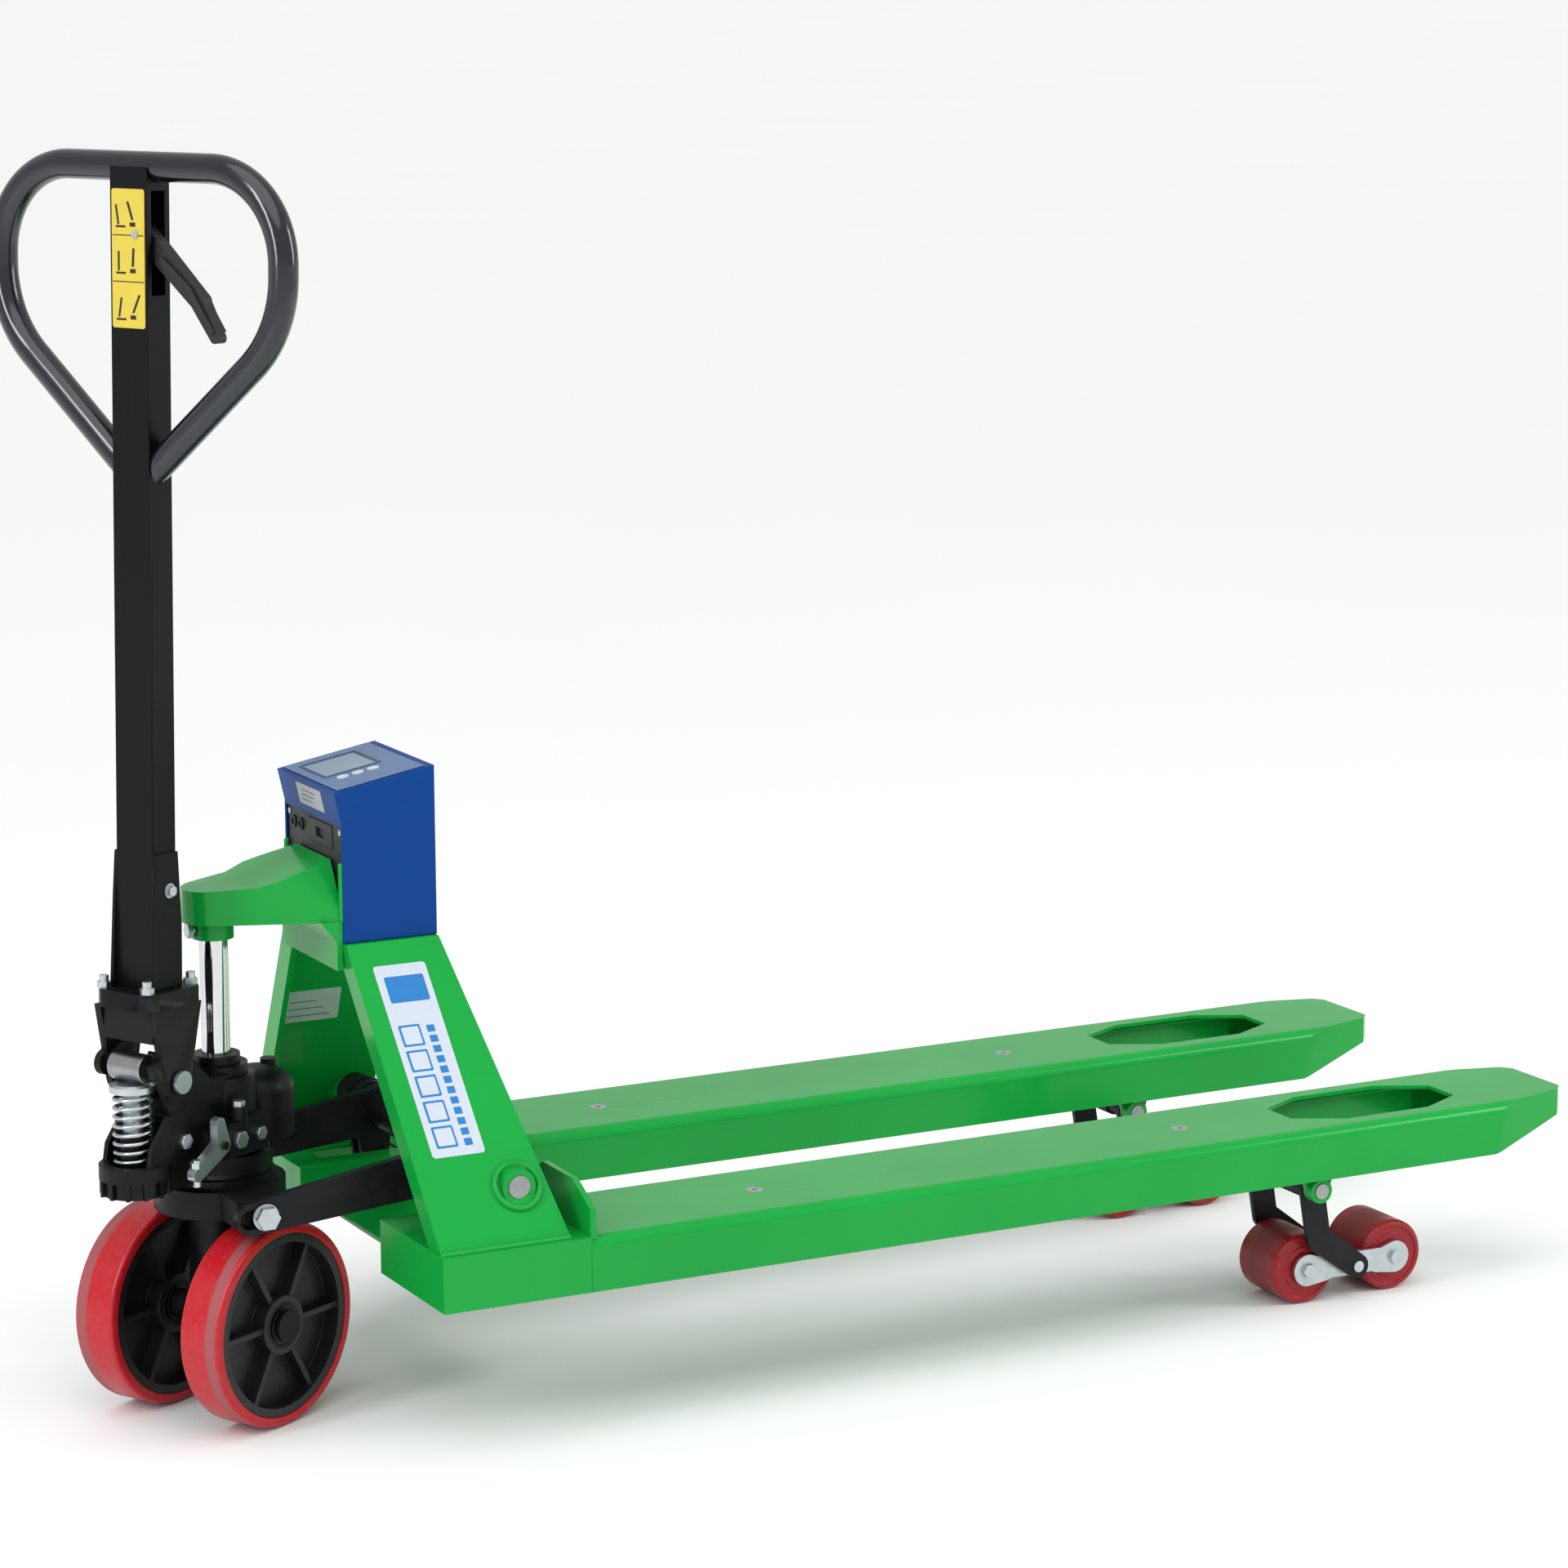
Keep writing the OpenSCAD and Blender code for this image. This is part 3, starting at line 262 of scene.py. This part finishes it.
def polyurethane(name, turn_joint, shades, worn, radius, half_width, outer=0):
    """Cast polyurethane: glossy red, scuffed to a dull greyish pink where it runs on the floor.

    outer is the side of the tyre's outer shoulder, 1 or -1, or 0 for a roller that wears in its middle.
    """
    made, tree, where = open_material(name)
    centre = joints[turn_joint]["pos_m"]
    axle = joints[turn_joint]["axis"]
    moved = add(tree, "ShaderNodeVectorMath", {0: where, 1: tuple(centre)}, operation="SUBTRACT")
    wheel = add(tree, "ShaderNodeVectorRotate", {"Vector": moved.outputs[0], "Axis": (0, 0, 1),
                                                 "Angle": math.atan2(axle[0], axle[1])}).outputs[0]
    across = add(tree, "ShaderNodeSeparateXYZ", {"Vector": wheel}).outputs[1]
    flat = add(tree, "ShaderNodeVectorMath", {0: wheel, 1: (1, 0, 1)}, operation="MULTIPLY")
    reach = add(tree, "ShaderNodeVectorMath", {0: flat.outputs[0]}, operation="LENGTH").outputs["Value"]
    share = add(tree, "ShaderNodeMath", {0: across, 1: half_width * (outer or 1)}, operation="DIVIDE")
    if not outer:
        share = add(tree, "ShaderNodeMath", {0: share.outputs[0]}, operation="ABSOLUTE")
    drift = add(tree, "ShaderNodeTexNoise", {"Vector": wheel, "Scale": 1 / (30 * MM), "Detail": 3})
    wander = add(tree, "ShaderNodeMapRange", {"Value": drift.outputs["Fac"], "To Min": -0.11, "To Max": 0.11},
                 clamp=False)
    edge = add(tree, "ShaderNodeMath", {0: share.outputs[0], 1: wander.outputs[0]}, operation="ADD")
    band = shoulder_band(tree, edge.outputs[0]) if outer else middle_band(tree, edge.outputs[0])
    mark = add(tree, "ShaderNodeTexNoise", {"Vector": wheel, "Scale": 1 / (9 * MM), "Detail": 5,
                                            "Roughness": 0.7})
    faint = add(tree, "ShaderNodeMapRange", {"Value": mark.outputs["Fac"], "From Min": 0.45, "From Max": 0.7,
                                             "To Max": 0.22})
    scuff = add(tree, "ShaderNodeMath", {0: band, 1: faint.outputs[0]}, operation="MAXIMUM")
    tread = add(tree, "ShaderNodeMath", {0: reach, 1: radius - 5 * MM}, operation="GREATER_THAN")
    wear = add(tree, "ShaderNodeMath", {0: scuff.outputs[0], 1: tread.outputs[0]},
               operation="MULTIPLY").outputs[0]
    batch = add(tree, "ShaderNodeTexNoise", {"Vector": wheel, "Scale": 1 / (50 * MM), "Detail": 2})
    body = add(tree, "ShaderNodeMix", {0: batch.outputs["Fac"], MIX_A: lin(shades[0]), MIX_B: lin(shades[1])},
               data_type="RGBA")
    tint = add(tree, "ShaderNodeMix", {0: wear, MIX_A: body.outputs[MIX_RESULT], MIX_B: lin(worn)},
               data_type="RGBA")
    gloss = add(tree, "ShaderNodeMapRange", {"Value": wear, "To Min": 0.26, "To Max": 0.65})
    pores = add(tree, "ShaderNodeTexNoise", {"Vector": wheel, "Scale": 1 / (1.5 * MM), "Detail": 3})
    skin = add(tree, "ShaderNodeBump", {"Height": pores.outputs["Fac"], "Distance": 0.05 * MM,
                                        "Strength": 0.4})
    close_material(tree, {"Base Color": tint.outputs[MIX_RESULT], "Roughness": gloss.outputs[0],
                          "Normal": skin.outputs["Normal"], "IOR": 1.5, "Specular IOR Level": 0.35})
    return made


# powder coat on welded steel: a clean, fairly glossy green with soft highlights along the folds
GREEN = paint("green powder coat on steel", "#0F9C3C", "#0D9438", 0.24, coat=0.3, depth=0.014 * MM)
# the same paint over weld beads, which stays lumpy
GREEN_WELD = paint("green paint over weld", "#0F9C3C", "#0D9438", 0.24, coat=0.3, peel=2.5 * MM,
                   depth=0.2 * MM)
# fine powder coat on folded sheet: a deep, even blue without strong reflections
BLUE = paint("blue powder coat on sheet steel", "#083F85", "#073A7C", 0.4, peel=1.2 * MM)
# enamel on bent tube: long bright highlights that follow the bends
BLACK_GLOSS = paint("black enamel on steel tube", "#0B1018", "#090D14", 0.16, coat=0.5, shine=0.45,
                    peel=3.0 * MM, depth=0.01 * MM)
# satin paint on the column: near black, with a wide dim sheen
BLACK_SATIN = paint("black satin paint on steel", "#07080A", "#0B0B0E", 0.34, shine=0.15, peel=1.6 * MM,
                    depth=0.02 * MM)
# rough castings: dull black that goes brownish where dust settles
CAST = cast("black painted iron casting", "#0B0C0E", "#1E1D1C", 0.42)
# the same paint on plate levers and the rocker: a greyer, drier black
CAST_ARM = cast("black painted steel plate", "#151518", "#242326", 0.4)
# zinc plating: pale cool grey with cloudy patches
ZINC = metal("zinc plated steel", "#CDD2D4", "#B0B8BC", 0.34)
# drawn and plated wire: the brightest of the small parts
SPRING_WIRE = metal("zinc plated spring wire", "#C9CED0", "#A9B0B4", 0.26)
# turned pins and rollers: darker, smoother grey
STEEL = metal("bare machined steel", "#A9ABAC", "#8A8C8E", 0.3)
# greased bearings: dark, with a slow gleam
DARK_STEEL = metal("oily bearing steel", "#3A3C3F", "#2B2D30", 0.38)
# ground and chromed ram: mirror bright, with hard dark and light bands
CHROME = metal("hard chrome plating", "#DADCDD", "#CFD2D4", 0.1, 0.02 * MM)
# moulded wheel rims and finger lever: matt black
NYLON = plastic("black moulded nylon", "#0C0C0E", "#141416", 0.45)
# indicator's front panel and battery case: matt charcoal
BLACK_ABS = plastic("black moulded ABS", "#121214", "#18181A", 0.5)
# domed keys: pale and slightly cool
KEY_CAPS = plastic("pale grey key caps", "#C9CFD6", "#BFC6CE", 0.45)
# films and inks: flat even colours with a soft sheen
WHITE_FILM = printed_film("white vinyl film", "#C3CCD8", "#BAC3D0")
SILVER_FILM = printed_film("silvery polyester film", "#A9C4B3", "#9DB8A8")
YELLOW_FILM = printed_film("yellow vinyl film", "#CFBA42", "#C6B13C")
GREY_FILM = printed_film("grey polyester film", "#A3A8AA", "#94999C")
BLUE_INK = printed_film("blue screen print", "#1677BC", "#146EAF", 0.4)
PALE_INK = printed_film("pale grey screen print", "#C3CBD8", "#BAC3D1", 0.4)
GREY_INK = printed_film("grey screen print", "#4E5D6E", "#47566A", 0.5)
BLACK_INK = printed_film("black screen print", "#1B1A12", "#24221A", 0.5)
# keypad overlay and display window: smoother films that mirror the sky
KEYPAD = printed_film("grey blue keypad film", "#4A6C98", "#44648F", 0.28)
DISPLAY = printed_film("grey green display window", "#7C93A8", "#72889C", 0.12)


def put(mat, *names):
    """Gives one material to CAD nodes."""
    for name in names:
        slots = nodes[name].data.materials
        slots.clear()
        slots.append(mat)


put(GREEN, "cheek_left", "cheek_right", "cross_member", "lift_arm", "fork_base_left", "fork_base_right",
    "fork_cover_left", "fork_cover_right")
put(BLUE, "indicator_housing")
put(BLACK_ABS, "front_panel", "battery_pack")
put(BLACK_GLOSS, "handle_loop")
put(BLACK_SATIN, "column", "push_rod_left", "push_rod_right")
put(CAST, "steering_collar", "pump_body", "reservoir", "tiller_bracket", "wheel_axle")
put(CAST_ARM, "rocker", "roller_lever_left", "roller_lever_right")
put(ZINC, "cover_screws", "rod_set_screw", "panel_screws", "collar_bolts", "pump_fasteners", "foot_bolts",
    "lever_pin", "tiller_pivot_pin", "plunger", "pump_spring", "release_lever", "bogie_left", "bogie_right",
    "bogie_pin_left", "bogie_pin_right")
put(STEEL, "load_cells", "rocker_shaft", "lever_pivot_pins", "pressure_roller")
put(DARK_STEEL, "bearings_left", "bearings_right", "thrust_bearing")
put(CHROME, "piston_rod")
put(NYLON, "rim_left", "rim_right", "control_lever")
put(KEY_CAPS, "key_zero", "key_tare", "key_power")
put(KEYPAD, "keypad")
put(DISPLAY, "display_window")

TYRE_RADIUS, TYRE_HALF_WIDTH = 100 * MM, 24 * MM
ROLLER_RADIUS, ROLLER_HALF_WIDTH = 37.5 * MM, 35 * MM
for side, outer in (("left", 1), ("right", -1)):
    put(polyurethane(f"red polyurethane tyre {side}", f"wheel_{side}_turn", ("#B91A25", "#AD1620"), "#8E5558",
                     TYRE_RADIUS, TYRE_HALF_WIDTH, outer), f"tyre_{side}")
for side in ("left", "right"):
    for end in ("front", "rear"):
        tag = side[0] + end[0]
        put(polyurethane(f"dark red polyurethane roller {tag}", f"roller_{tag}_turn", ("#9E1822", "#86121B"),
                         "#7A3A3E", ROLLER_RADIUS, ROLLER_HALF_WIDTH), f"roller_{side}_{end}")

# rounded edges on every CAD piece, kept as modifiers, in millimetres: 0.7 on small parts, and more on
# castings, folded plates and covers, whose edges are softer under thick paint
SMALL_EDGE = 0.7
EDGE = {"cheek_left": 2.2, "cheek_right": 2.2, "cross_member": 1.8, "lift_arm": 5, "fork_base_left": 1.5,
        "fork_base_right": 1.5, "fork_cover_left": 1.4, "fork_cover_right": 1.4, "indicator_housing": 1.4,
        "column": 2, "pump_body": 1.6, "tiller_bracket": 1.6, "rocker": 1.6, "steering_collar": 1.6}
for name, piece in nodes.items():
    for face in piece.data.polygons:
        face.use_smooth = True
    joined = piece.modifiers.new("weld", "WELD")
    joined.merge_threshold = 0.02 * MM
    edge = piece.modifiers.new("edge", "BEVEL")
    edge.width = EDGE.get(name, SMALL_EDGE) * MM
    edge.segments = 3 if name in EDGE else 2
    edge.limit_method = "ANGLE"
    edge.angle_limit = math.radians(32)
    edge.harden_normals = False
    shading = piece.modifiers.new("normals", "WEIGHTED_NORMAL")
    shading.keep_sharp = False


# ---------------------------------------------------------------- modelling helpers
def begin(kind, **settings):
    """Adds a mesh primitive with nothing else selected."""
    bpy.ops.object.select_all(action="DESELECT")
    getattr(bpy.ops.mesh, f"primitive_{kind}_add")(**settings)
    return bpy.context.active_object


def stretch(obj, x, y, z):
    """Scales the whole mesh in edit mode."""
    bpy.ops.object.mode_set(mode="EDIT")
    bpy.ops.mesh.select_all(action="SELECT")
    bpy.ops.transform.resize(value=(x, y, z))
    bpy.ops.object.mode_set(mode="OBJECT")


def choose(obj, kind, test):
    """Goes to edit mode with only the parts of obj selected whose middle passes test."""
    bpy.ops.object.mode_set(mode="EDIT")
    bpy.ops.mesh.select_mode(type=kind)
    bpy.ops.mesh.select_all(action="DESELECT")
    bpy.ops.object.mode_set(mode="OBJECT")
    mesh = obj.data
    parts = {"FACE": mesh.polygons, "EDGE": mesh.edges}[kind]
    for part in parts:
        middle = sum((mesh.vertices[i].co for i in part.vertices), Vector()) / len(part.vertices)
        part.select = bool(test(middle))
    bpy.ops.object.mode_set(mode="EDIT")


def modify(obj, kind, **settings):
    """Adds a modifier to obj and applies it."""
    bpy.context.view_layer.objects.active = obj
    made = obj.modifiers.new(kind.lower(), kind)
    for name, value in settings.items():
        setattr(made, name, value)
    bpy.ops.object.modifier_apply(modifier=made.name)


def settle(obj, name, mat, body, where=None, smooth=35):
    """Puts the piece's place into its mesh, names it, finishes it and lets it ride on a body."""
    bpy.ops.object.select_all(action="DESELECT")
    obj.select_set(True)
    bpy.context.view_layer.objects.active = obj
    bpy.ops.object.transform_apply(location=True, rotation=True, scale=True)
    if where is not None:
        obj.data.transform(where)
    bpy.ops.object.mode_set(mode="EDIT")
    bpy.ops.mesh.select_all(action="SELECT")
    bpy.ops.mesh.remove_doubles(threshold=0.001 * MM)
    bpy.ops.mesh.normals_make_consistent(inside=False)
    bpy.ops.object.mode_set(mode="OBJECT")
    bpy.ops.object.shade_smooth_by_angle(angle=math.radians(smooth))
    obj.name = name
    obj.data.name = name
    obj.data.materials.clear()
    obj.data.materials.append(mat)
    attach(obj, body)
    bpy.ops.object.select_all(action="DESELECT")
    return obj


# films are thicker than life so that they stand clear of the paint, and inks lie on the films, in mm
INK = 0.12
RULE = 0.1
ON_FILM = 0.2
CORNER = 0.06


def film(name, mat, body, where, x_range, y_range, thick, skew=0, lift=0.0):
    """A thin sticker with rounded corners, in millimetres; its top edge is moved along by skew."""
    (x0, x1), (y0, y1) = x_range, y_range
    obj = begin("cube", size=1, location=((x0 + x1) / 2 * MM, (y0 + y1) / 2 * MM, (lift + thick / 2) * MM))
    stretch(obj, (x1 - x0) * MM, (y1 - y0) * MM, thick * MM)
    choose(obj, "FACE", lambda middle: middle.y > 0.4 * (y1 - y0) * MM)
    bpy.ops.transform.translate(value=(skew * MM, 0, 0))
    choose(obj, "EDGE", lambda middle: abs(middle.z) < 1e-6)
    bpy.ops.mesh.bevel(offset=min(x1 - x0, y1 - y0) * CORNER * MM, segments=3)
    bpy.ops.object.mode_set(mode="OBJECT")
    return settle(obj, name, mat, body, where)


# weld ripples lie about two thirds of a bead's radius apart
RIPPLE = 0.62


def weld(name, where, first, last, radius):
    """A run of overlapping weld ripples between two places, in millimetres."""
    first, last = Vector(first) * MM, Vector(last) * MM
    run = last - first
    pitch = radius * RIPPLE * MM
    obj = begin("uv_sphere", segments=10, ring_count=7, radius=radius * MM, location=first)
    modify(obj, "ARRAY", count=max(2, round(run.length / pitch)), use_relative_offset=False,
           use_constant_offset=True, constant_offset_displace=run.normalized() * pitch)
    return settle(obj, name, GREEN_WELD, "chassis", where, smooth=60)


def weld_ring(name, where, ring, radius):
    """Weld ripples all round a bar whose axis is the frame's z, in millimetres."""
    count = round(2 * math.pi * ring / (radius * RIPPLE))
    pivot = bpy.data.objects.new("pivot", None)
    bpy.context.scene.collection.objects.link(pivot)
    pivot.rotation_euler = (0, 0, 2 * math.pi / count)
    obj = begin("uv_sphere", segments=10, ring_count=7, radius=radius * MM, location=(0, 0, 0))
    bpy.ops.object.mode_set(mode="EDIT")
    bpy.ops.mesh.select_all(action="SELECT")
    bpy.ops.transform.translate(value=(ring * MM, 0, 0))
    bpy.ops.object.mode_set(mode="OBJECT")
    modify(obj, "ARRAY", count=count, use_relative_offset=False, use_object_offset=True, offset_object=pivot)
    bpy.data.objects.remove(pivot)
    return settle(obj, name, GREEN_WELD, "chassis", where, smooth=60)


# ---------------------------------------------------------------- pump spring
SPRING_X = -120
SPRING_LOW = 270
SPRING_TOP = 343
SPRING_RADIUS = 18
WIRE_RADIUS = 2
SPRING_TURNS = 8


def pump_spring():
    """Round wire wound in open turns."""
    obj = begin("circle", vertices=10, radius=WIRE_RADIUS * MM, location=(0, 0, 0))
    bpy.ops.object.mode_set(mode="EDIT")
    bpy.ops.mesh.select_all(action="SELECT")
    bpy.ops.transform.rotate(value=math.pi / 2, orient_axis="X", center_override=(0, 0, 0))
    bpy.ops.transform.translate(value=(SPRING_RADIUS * MM, 0, (SPRING_LOW + WIRE_RADIUS) * MM))
    bpy.ops.object.mode_set(mode="OBJECT")
    rise = (SPRING_TOP - SPRING_LOW - 2 * WIRE_RADIUS) * MM / SPRING_TURNS
    modify(obj, "SCREW", steps=40, render_steps=40, iterations=SPRING_TURNS, screw_offset=rise, axis="Z")
    bpy.ops.object.mode_set(mode="EDIT")
    bpy.ops.mesh.select_mode(type="EDGE")
    bpy.ops.mesh.select_all(action="DESELECT")
    bpy.ops.mesh.select_non_manifold()
    bpy.ops.mesh.edge_face_add()
    bpy.ops.object.mode_set(mode="OBJECT")
    obj = settle(obj, "spring_coils", SPRING_WIRE, "pump",
                 STEERED @ Matrix.Translation((SPRING_X * MM, 0, 0)), 60)
    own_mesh(obj)
    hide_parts("pump_spring")


# ---------------------------------------------------------------- stickers
def cheek_label():
    """White film up the near cheek: a block, a pale box, five empty frames and a row of dashes."""
    where = on_cheek(-1)
    film("cheek_label", WHITE_FILM, "chassis", where, (141, 195), (95, 292), 0.25, -15)
    film("cheek_label_block", BLUE_INK, "chassis", where, (136.5, 177), (253, 280), INK, -2, ON_FILM)
    film("cheek_label_box", PALE_INK, "chassis", where, (138.5, 179), (235, 251), INK, -1.2, ON_FILM)
    low_row, frame_size, frame_line = 104, 22, 2.2
    for i in range(5):
        low = low_row + i * 26
        left = 147.5 - i * 2.1
        film(f"cheek_label_frame_{i}", BLUE_INK, "chassis", where, (left, left + frame_size),
             (low, low + frame_size), INK, -2, ON_FILM)
        film(f"cheek_label_field_{i}", WHITE_FILM, "chassis", where,
             (left + frame_line, left + frame_size - frame_line),
             (low + frame_line, low + frame_size - frame_line), INK, -1.6, 0.28)
    for i in range(12):
        low = low_row + i * 10.6
        left = 176.5 - i * 0.92
        film(f"cheek_label_dash_{i}", BLUE_INK, "chassis", where, (left, left + 8), (low, low + 7.2), INK,
             -0.6, ON_FILM)


def rating_plate():
    """Silvery plate inside the far cheek, with plain rules."""
    cheek_wall = 10.67 * MM
    where = on_cheek(1, cheek_wall)
    film("rating_plate", SILVER_FILM, "chassis", where, (124, 186), (164, 208), 0.4, -4)
    for i in range(3):
        low = 172 + i * 10
        film(f"rating_rule_{i}", GREY_INK, "chassis", where, (129, 176 - 9 * i), (low, low + 1.2), RULE,
             lift=0.38)


def instruction_plate():
    """Yellow plate near the top of the column, with three framed cells and plain marks."""
    column_face = 16 * MM
    where = TILLER @ Matrix(((0, 0, -1, -column_face), (-1, 0, 0, 0), (0, 1, 0, 0), (0, 0, 0, 1)))
    low, high, half = 622, 750, 20
    film("instruction_plate", YELLOW_FILM, "tiller", where, (-half, half), (low, high), 0.3)
    cell = (high - low) / 3
    for i in range(3):
        base = low + i * cell
        if i:
            film(f"instruction_rule_{i}", BLACK_INK, "tiller", where, (1 - half, half - 1),
                 (base - 0.5, base + 0.5), RULE, lift=0.28)
        for mark, x_range, y_range, skew in (("bar", (-13, -10.5), (10, 28), 3 - 3 * i),
                                             ("foot", (-15, -3), (7, 9), 0),
                                             ("arrow", (4, 7), (14, 31), 8 - 7 * i),
                                             ("dot", (2, 9), (8, 12), 0)):
            film(f"instruction_{mark}_{i}", BLACK_INK, "tiller", where, x_range,
                 (base + y_range[0], base + y_range[1]), RULE, skew, 0.28)


# the indicator's front band leans out over the panel, and its top slopes up to the back
BAND_LOW = 582 * MM
BAND_HIGH = 613 * MM
BAND_LEAN = 7 * MM
TOP_RISE = 19
TOP_RUN = 104


def indicator_details():
    """Grey film in the leaning front band, and a frame round the display window."""
    box_low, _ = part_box("indicator_housing")
    band_low = Vector((box_low.x + BAND_LEAN, 0, BAND_LOW))
    band_high = Vector((box_low.x, 0, BAND_HIGH))
    up_dir = (band_high - band_low).normalized()
    out = Vector((-up_dir.z, 0, up_dir.x))
    where = Matrix(((0, up_dir.x, out.x, band_low.x), (-1, up_dir.y, out.y, band_low.y),
                    (0, up_dir.z, out.z, band_low.z), (0, 0, 0, 1)))
    film("band_film", GREY_FILM, "chassis", where, (-28, 36), (5, 27), 0.25)
    for i in range(3):
        low = 10 + 5 * i
        film(f"band_rule_{i}", GREY_INK, "chassis", where, (-20 + 3 * i, 8 + 5 * i), (low, low + 1.2), RULE,
             lift=0.23)
    slope = Matrix.Rotation(-math.atan2(TOP_RISE, TOP_RUN), 4, "Y")
    top = Matrix.Translation((box_low.x, 0, BAND_HIGH)) @ slope
    rim = begin("plane", size=1, location=(45 * MM, 19 * MM, 1.25 * MM))
    stretch(rim, 60 * MM, 68 * MM, 1)
    choose(rim, "FACE", lambda middle: True)
    bpy.ops.mesh.inset(thickness=2.2 * MM, depth=0)
    bpy.ops.mesh.delete(type="FACE")
    bpy.ops.mesh.select_all(action="SELECT")
    bpy.ops.mesh.extrude_region_move(TRANSFORM_OT_translate={"value": (0, 0, 0.6 * MM)})
    bpy.ops.object.mode_set(mode="OBJECT")
    settle(rim, "window_frame", GREY_INK, "chassis", top)


def column_screw():
    """Hex screw with its washer low on the column's flank."""
    column_side = -26.5 * MM
    flank = TILLER @ Matrix.Translation((2 * MM, column_side, 94 * MM)) @ Matrix.Rotation(math.pi / 2, 4, "X")
    washer_height, head_height = 1.4 * MM, 4 * MM
    washer = begin("cylinder", vertices=32, radius=7 * MM, depth=washer_height,
                   location=(0, 0, washer_height / 2))
    choose(washer, "FACE", lambda middle: middle.z > 1.3 * MM)
    bpy.ops.mesh.inset(thickness=1.0 * MM, depth=0.2 * MM)
    bpy.ops.object.mode_set(mode="OBJECT")
    settle(washer, "column_washer", ZINC, "tiller", flank)
    head = begin("cylinder", vertices=6, radius=5.4 * MM, depth=head_height, location=(0, 0, 3.5 * MM))
    choose(head, "FACE", lambda middle: middle.z > 5.4 * MM)
    bpy.ops.mesh.inset(thickness=0.9 * MM, depth=0.4 * MM)
    bpy.ops.object.mode_set(mode="OBJECT")
    settle(head, "column_screw", ZINC, "tiller", flank, 20)


def welds():
    """Weld runs: cheek feet, lift arm root and shaft bosses."""
    truck = Matrix.Translation((AXIS_X, 0, 0))
    foot_y, arm_y = 251.5, 70.5
    shaft_x, shaft_z = 218, 247
    shaft_y = CHEEK_FOOT / MM - LEAN_IN * (shaft_z - CHEEK_LOW / MM)
    for side, tag in ((-1, "right"), (1, "left")):
        weld(f"foot_weld_{tag}", truck, (128, side * foot_y, 198.5), (258, side * foot_y, 198.5), 3.4)
        weld(f"arm_weld_{tag}", truck, (105, side * arm_y, 489), (105, side * arm_y, 543), 3.0)
        out_of_cheek = Matrix.Rotation(side * (math.atan(LEAN_IN) - math.pi / 2), 4, "X")
        boss = Matrix.Translation((shaft_x * MM, side * (shaft_y + 1) * MM, shaft_z * MM)) @ out_of_cheek
        weld_ring(f"boss_weld_{tag}", truck @ boss, 22.5, 3.2)


pump_spring()
cheek_label()
rating_plate()
instruction_plate()
indicator_details()
column_screw()
welds()


# ---------------------------------------------------------------- floor and light
floor = begin("plane", size=600, location=(0, 0, -0.5 * MM))
floor.name = "floor"
floor_paint, tree, where = open_material("pale studio floor")
# clouds over a metre wide keep the floor from being one flat colour
clouds = add(tree, "ShaderNodeTexNoise", {"Vector": where, "Scale": 1 / 1.2, "Detail": 3})
pale = add(tree, "ShaderNodeMix", {0: clouds.outputs["Fac"], MIX_A: lin("#F4F4F4"), MIX_B: lin("#F1F1F1")},
           data_type="RGBA")
close_material(tree, {"Base Color": pale.outputs[MIX_RESULT], "Roughness": 0.7})
floor.data.materials.append(floor_paint)
bpy.ops.object.select_all(action="DESELECT")

# the sky lights the truck softly, and is paler behind it, as a lit backdrop is
SKY_LIGHT, SKY_SEEN = 0.66, 0.96
scene = bpy.context.scene
scene.view_settings.view_transform = "Standard"
world = bpy.data.worlds.new("studio")
scene.world = world
world.use_nodes = True
sky = world.node_tree.nodes["Background"]
sky.inputs["Color"].default_value = lin("#FBFCFD")
ray = add(world.node_tree, "ShaderNodeLightPath")
glow = add(world.node_tree, "ShaderNodeMapRange", {"Value": ray.outputs["Is Camera Ray"],
                                                   "To Min": SKY_LIGHT, "To Max": SKY_SEEN})
world.node_tree.links.new(glow.outputs[0], sky.inputs["Strength"])


def lamp(name, kind, place, target, power, **settings):
    """A lamp at place that shines at target."""
    data = bpy.data.lights.new(name, kind)
    data.energy = power
    for key, value in settings.items():
        setattr(data, key, value)
    holder = bpy.data.objects.new(name, data)
    bpy.context.scene.collection.objects.link(holder)
    holder.location = place
    holder.rotation_mode = "QUATERNION"
    holder.rotation_quaternion = (Vector(target) - Vector(place)).to_track_quat("-Z", "Y")


lamp("sky", "SUN", (-1.2, -2.0, 4.5), (0, 0, 0), 1.5, angle=math.radians(70))
lamp("right softbox", "AREA", (3.2, -2.2, 2.2), (-0.4, 0, 0.6), 50, shape="RECTANGLE", size=0.9, size_y=2.2)
lamp("left softbox", "AREA", (-3.4, -1.0, 2.0), (-0.5, 0, 0.5), 40, shape="RECTANGLE", size=0.5, size_y=2.0)
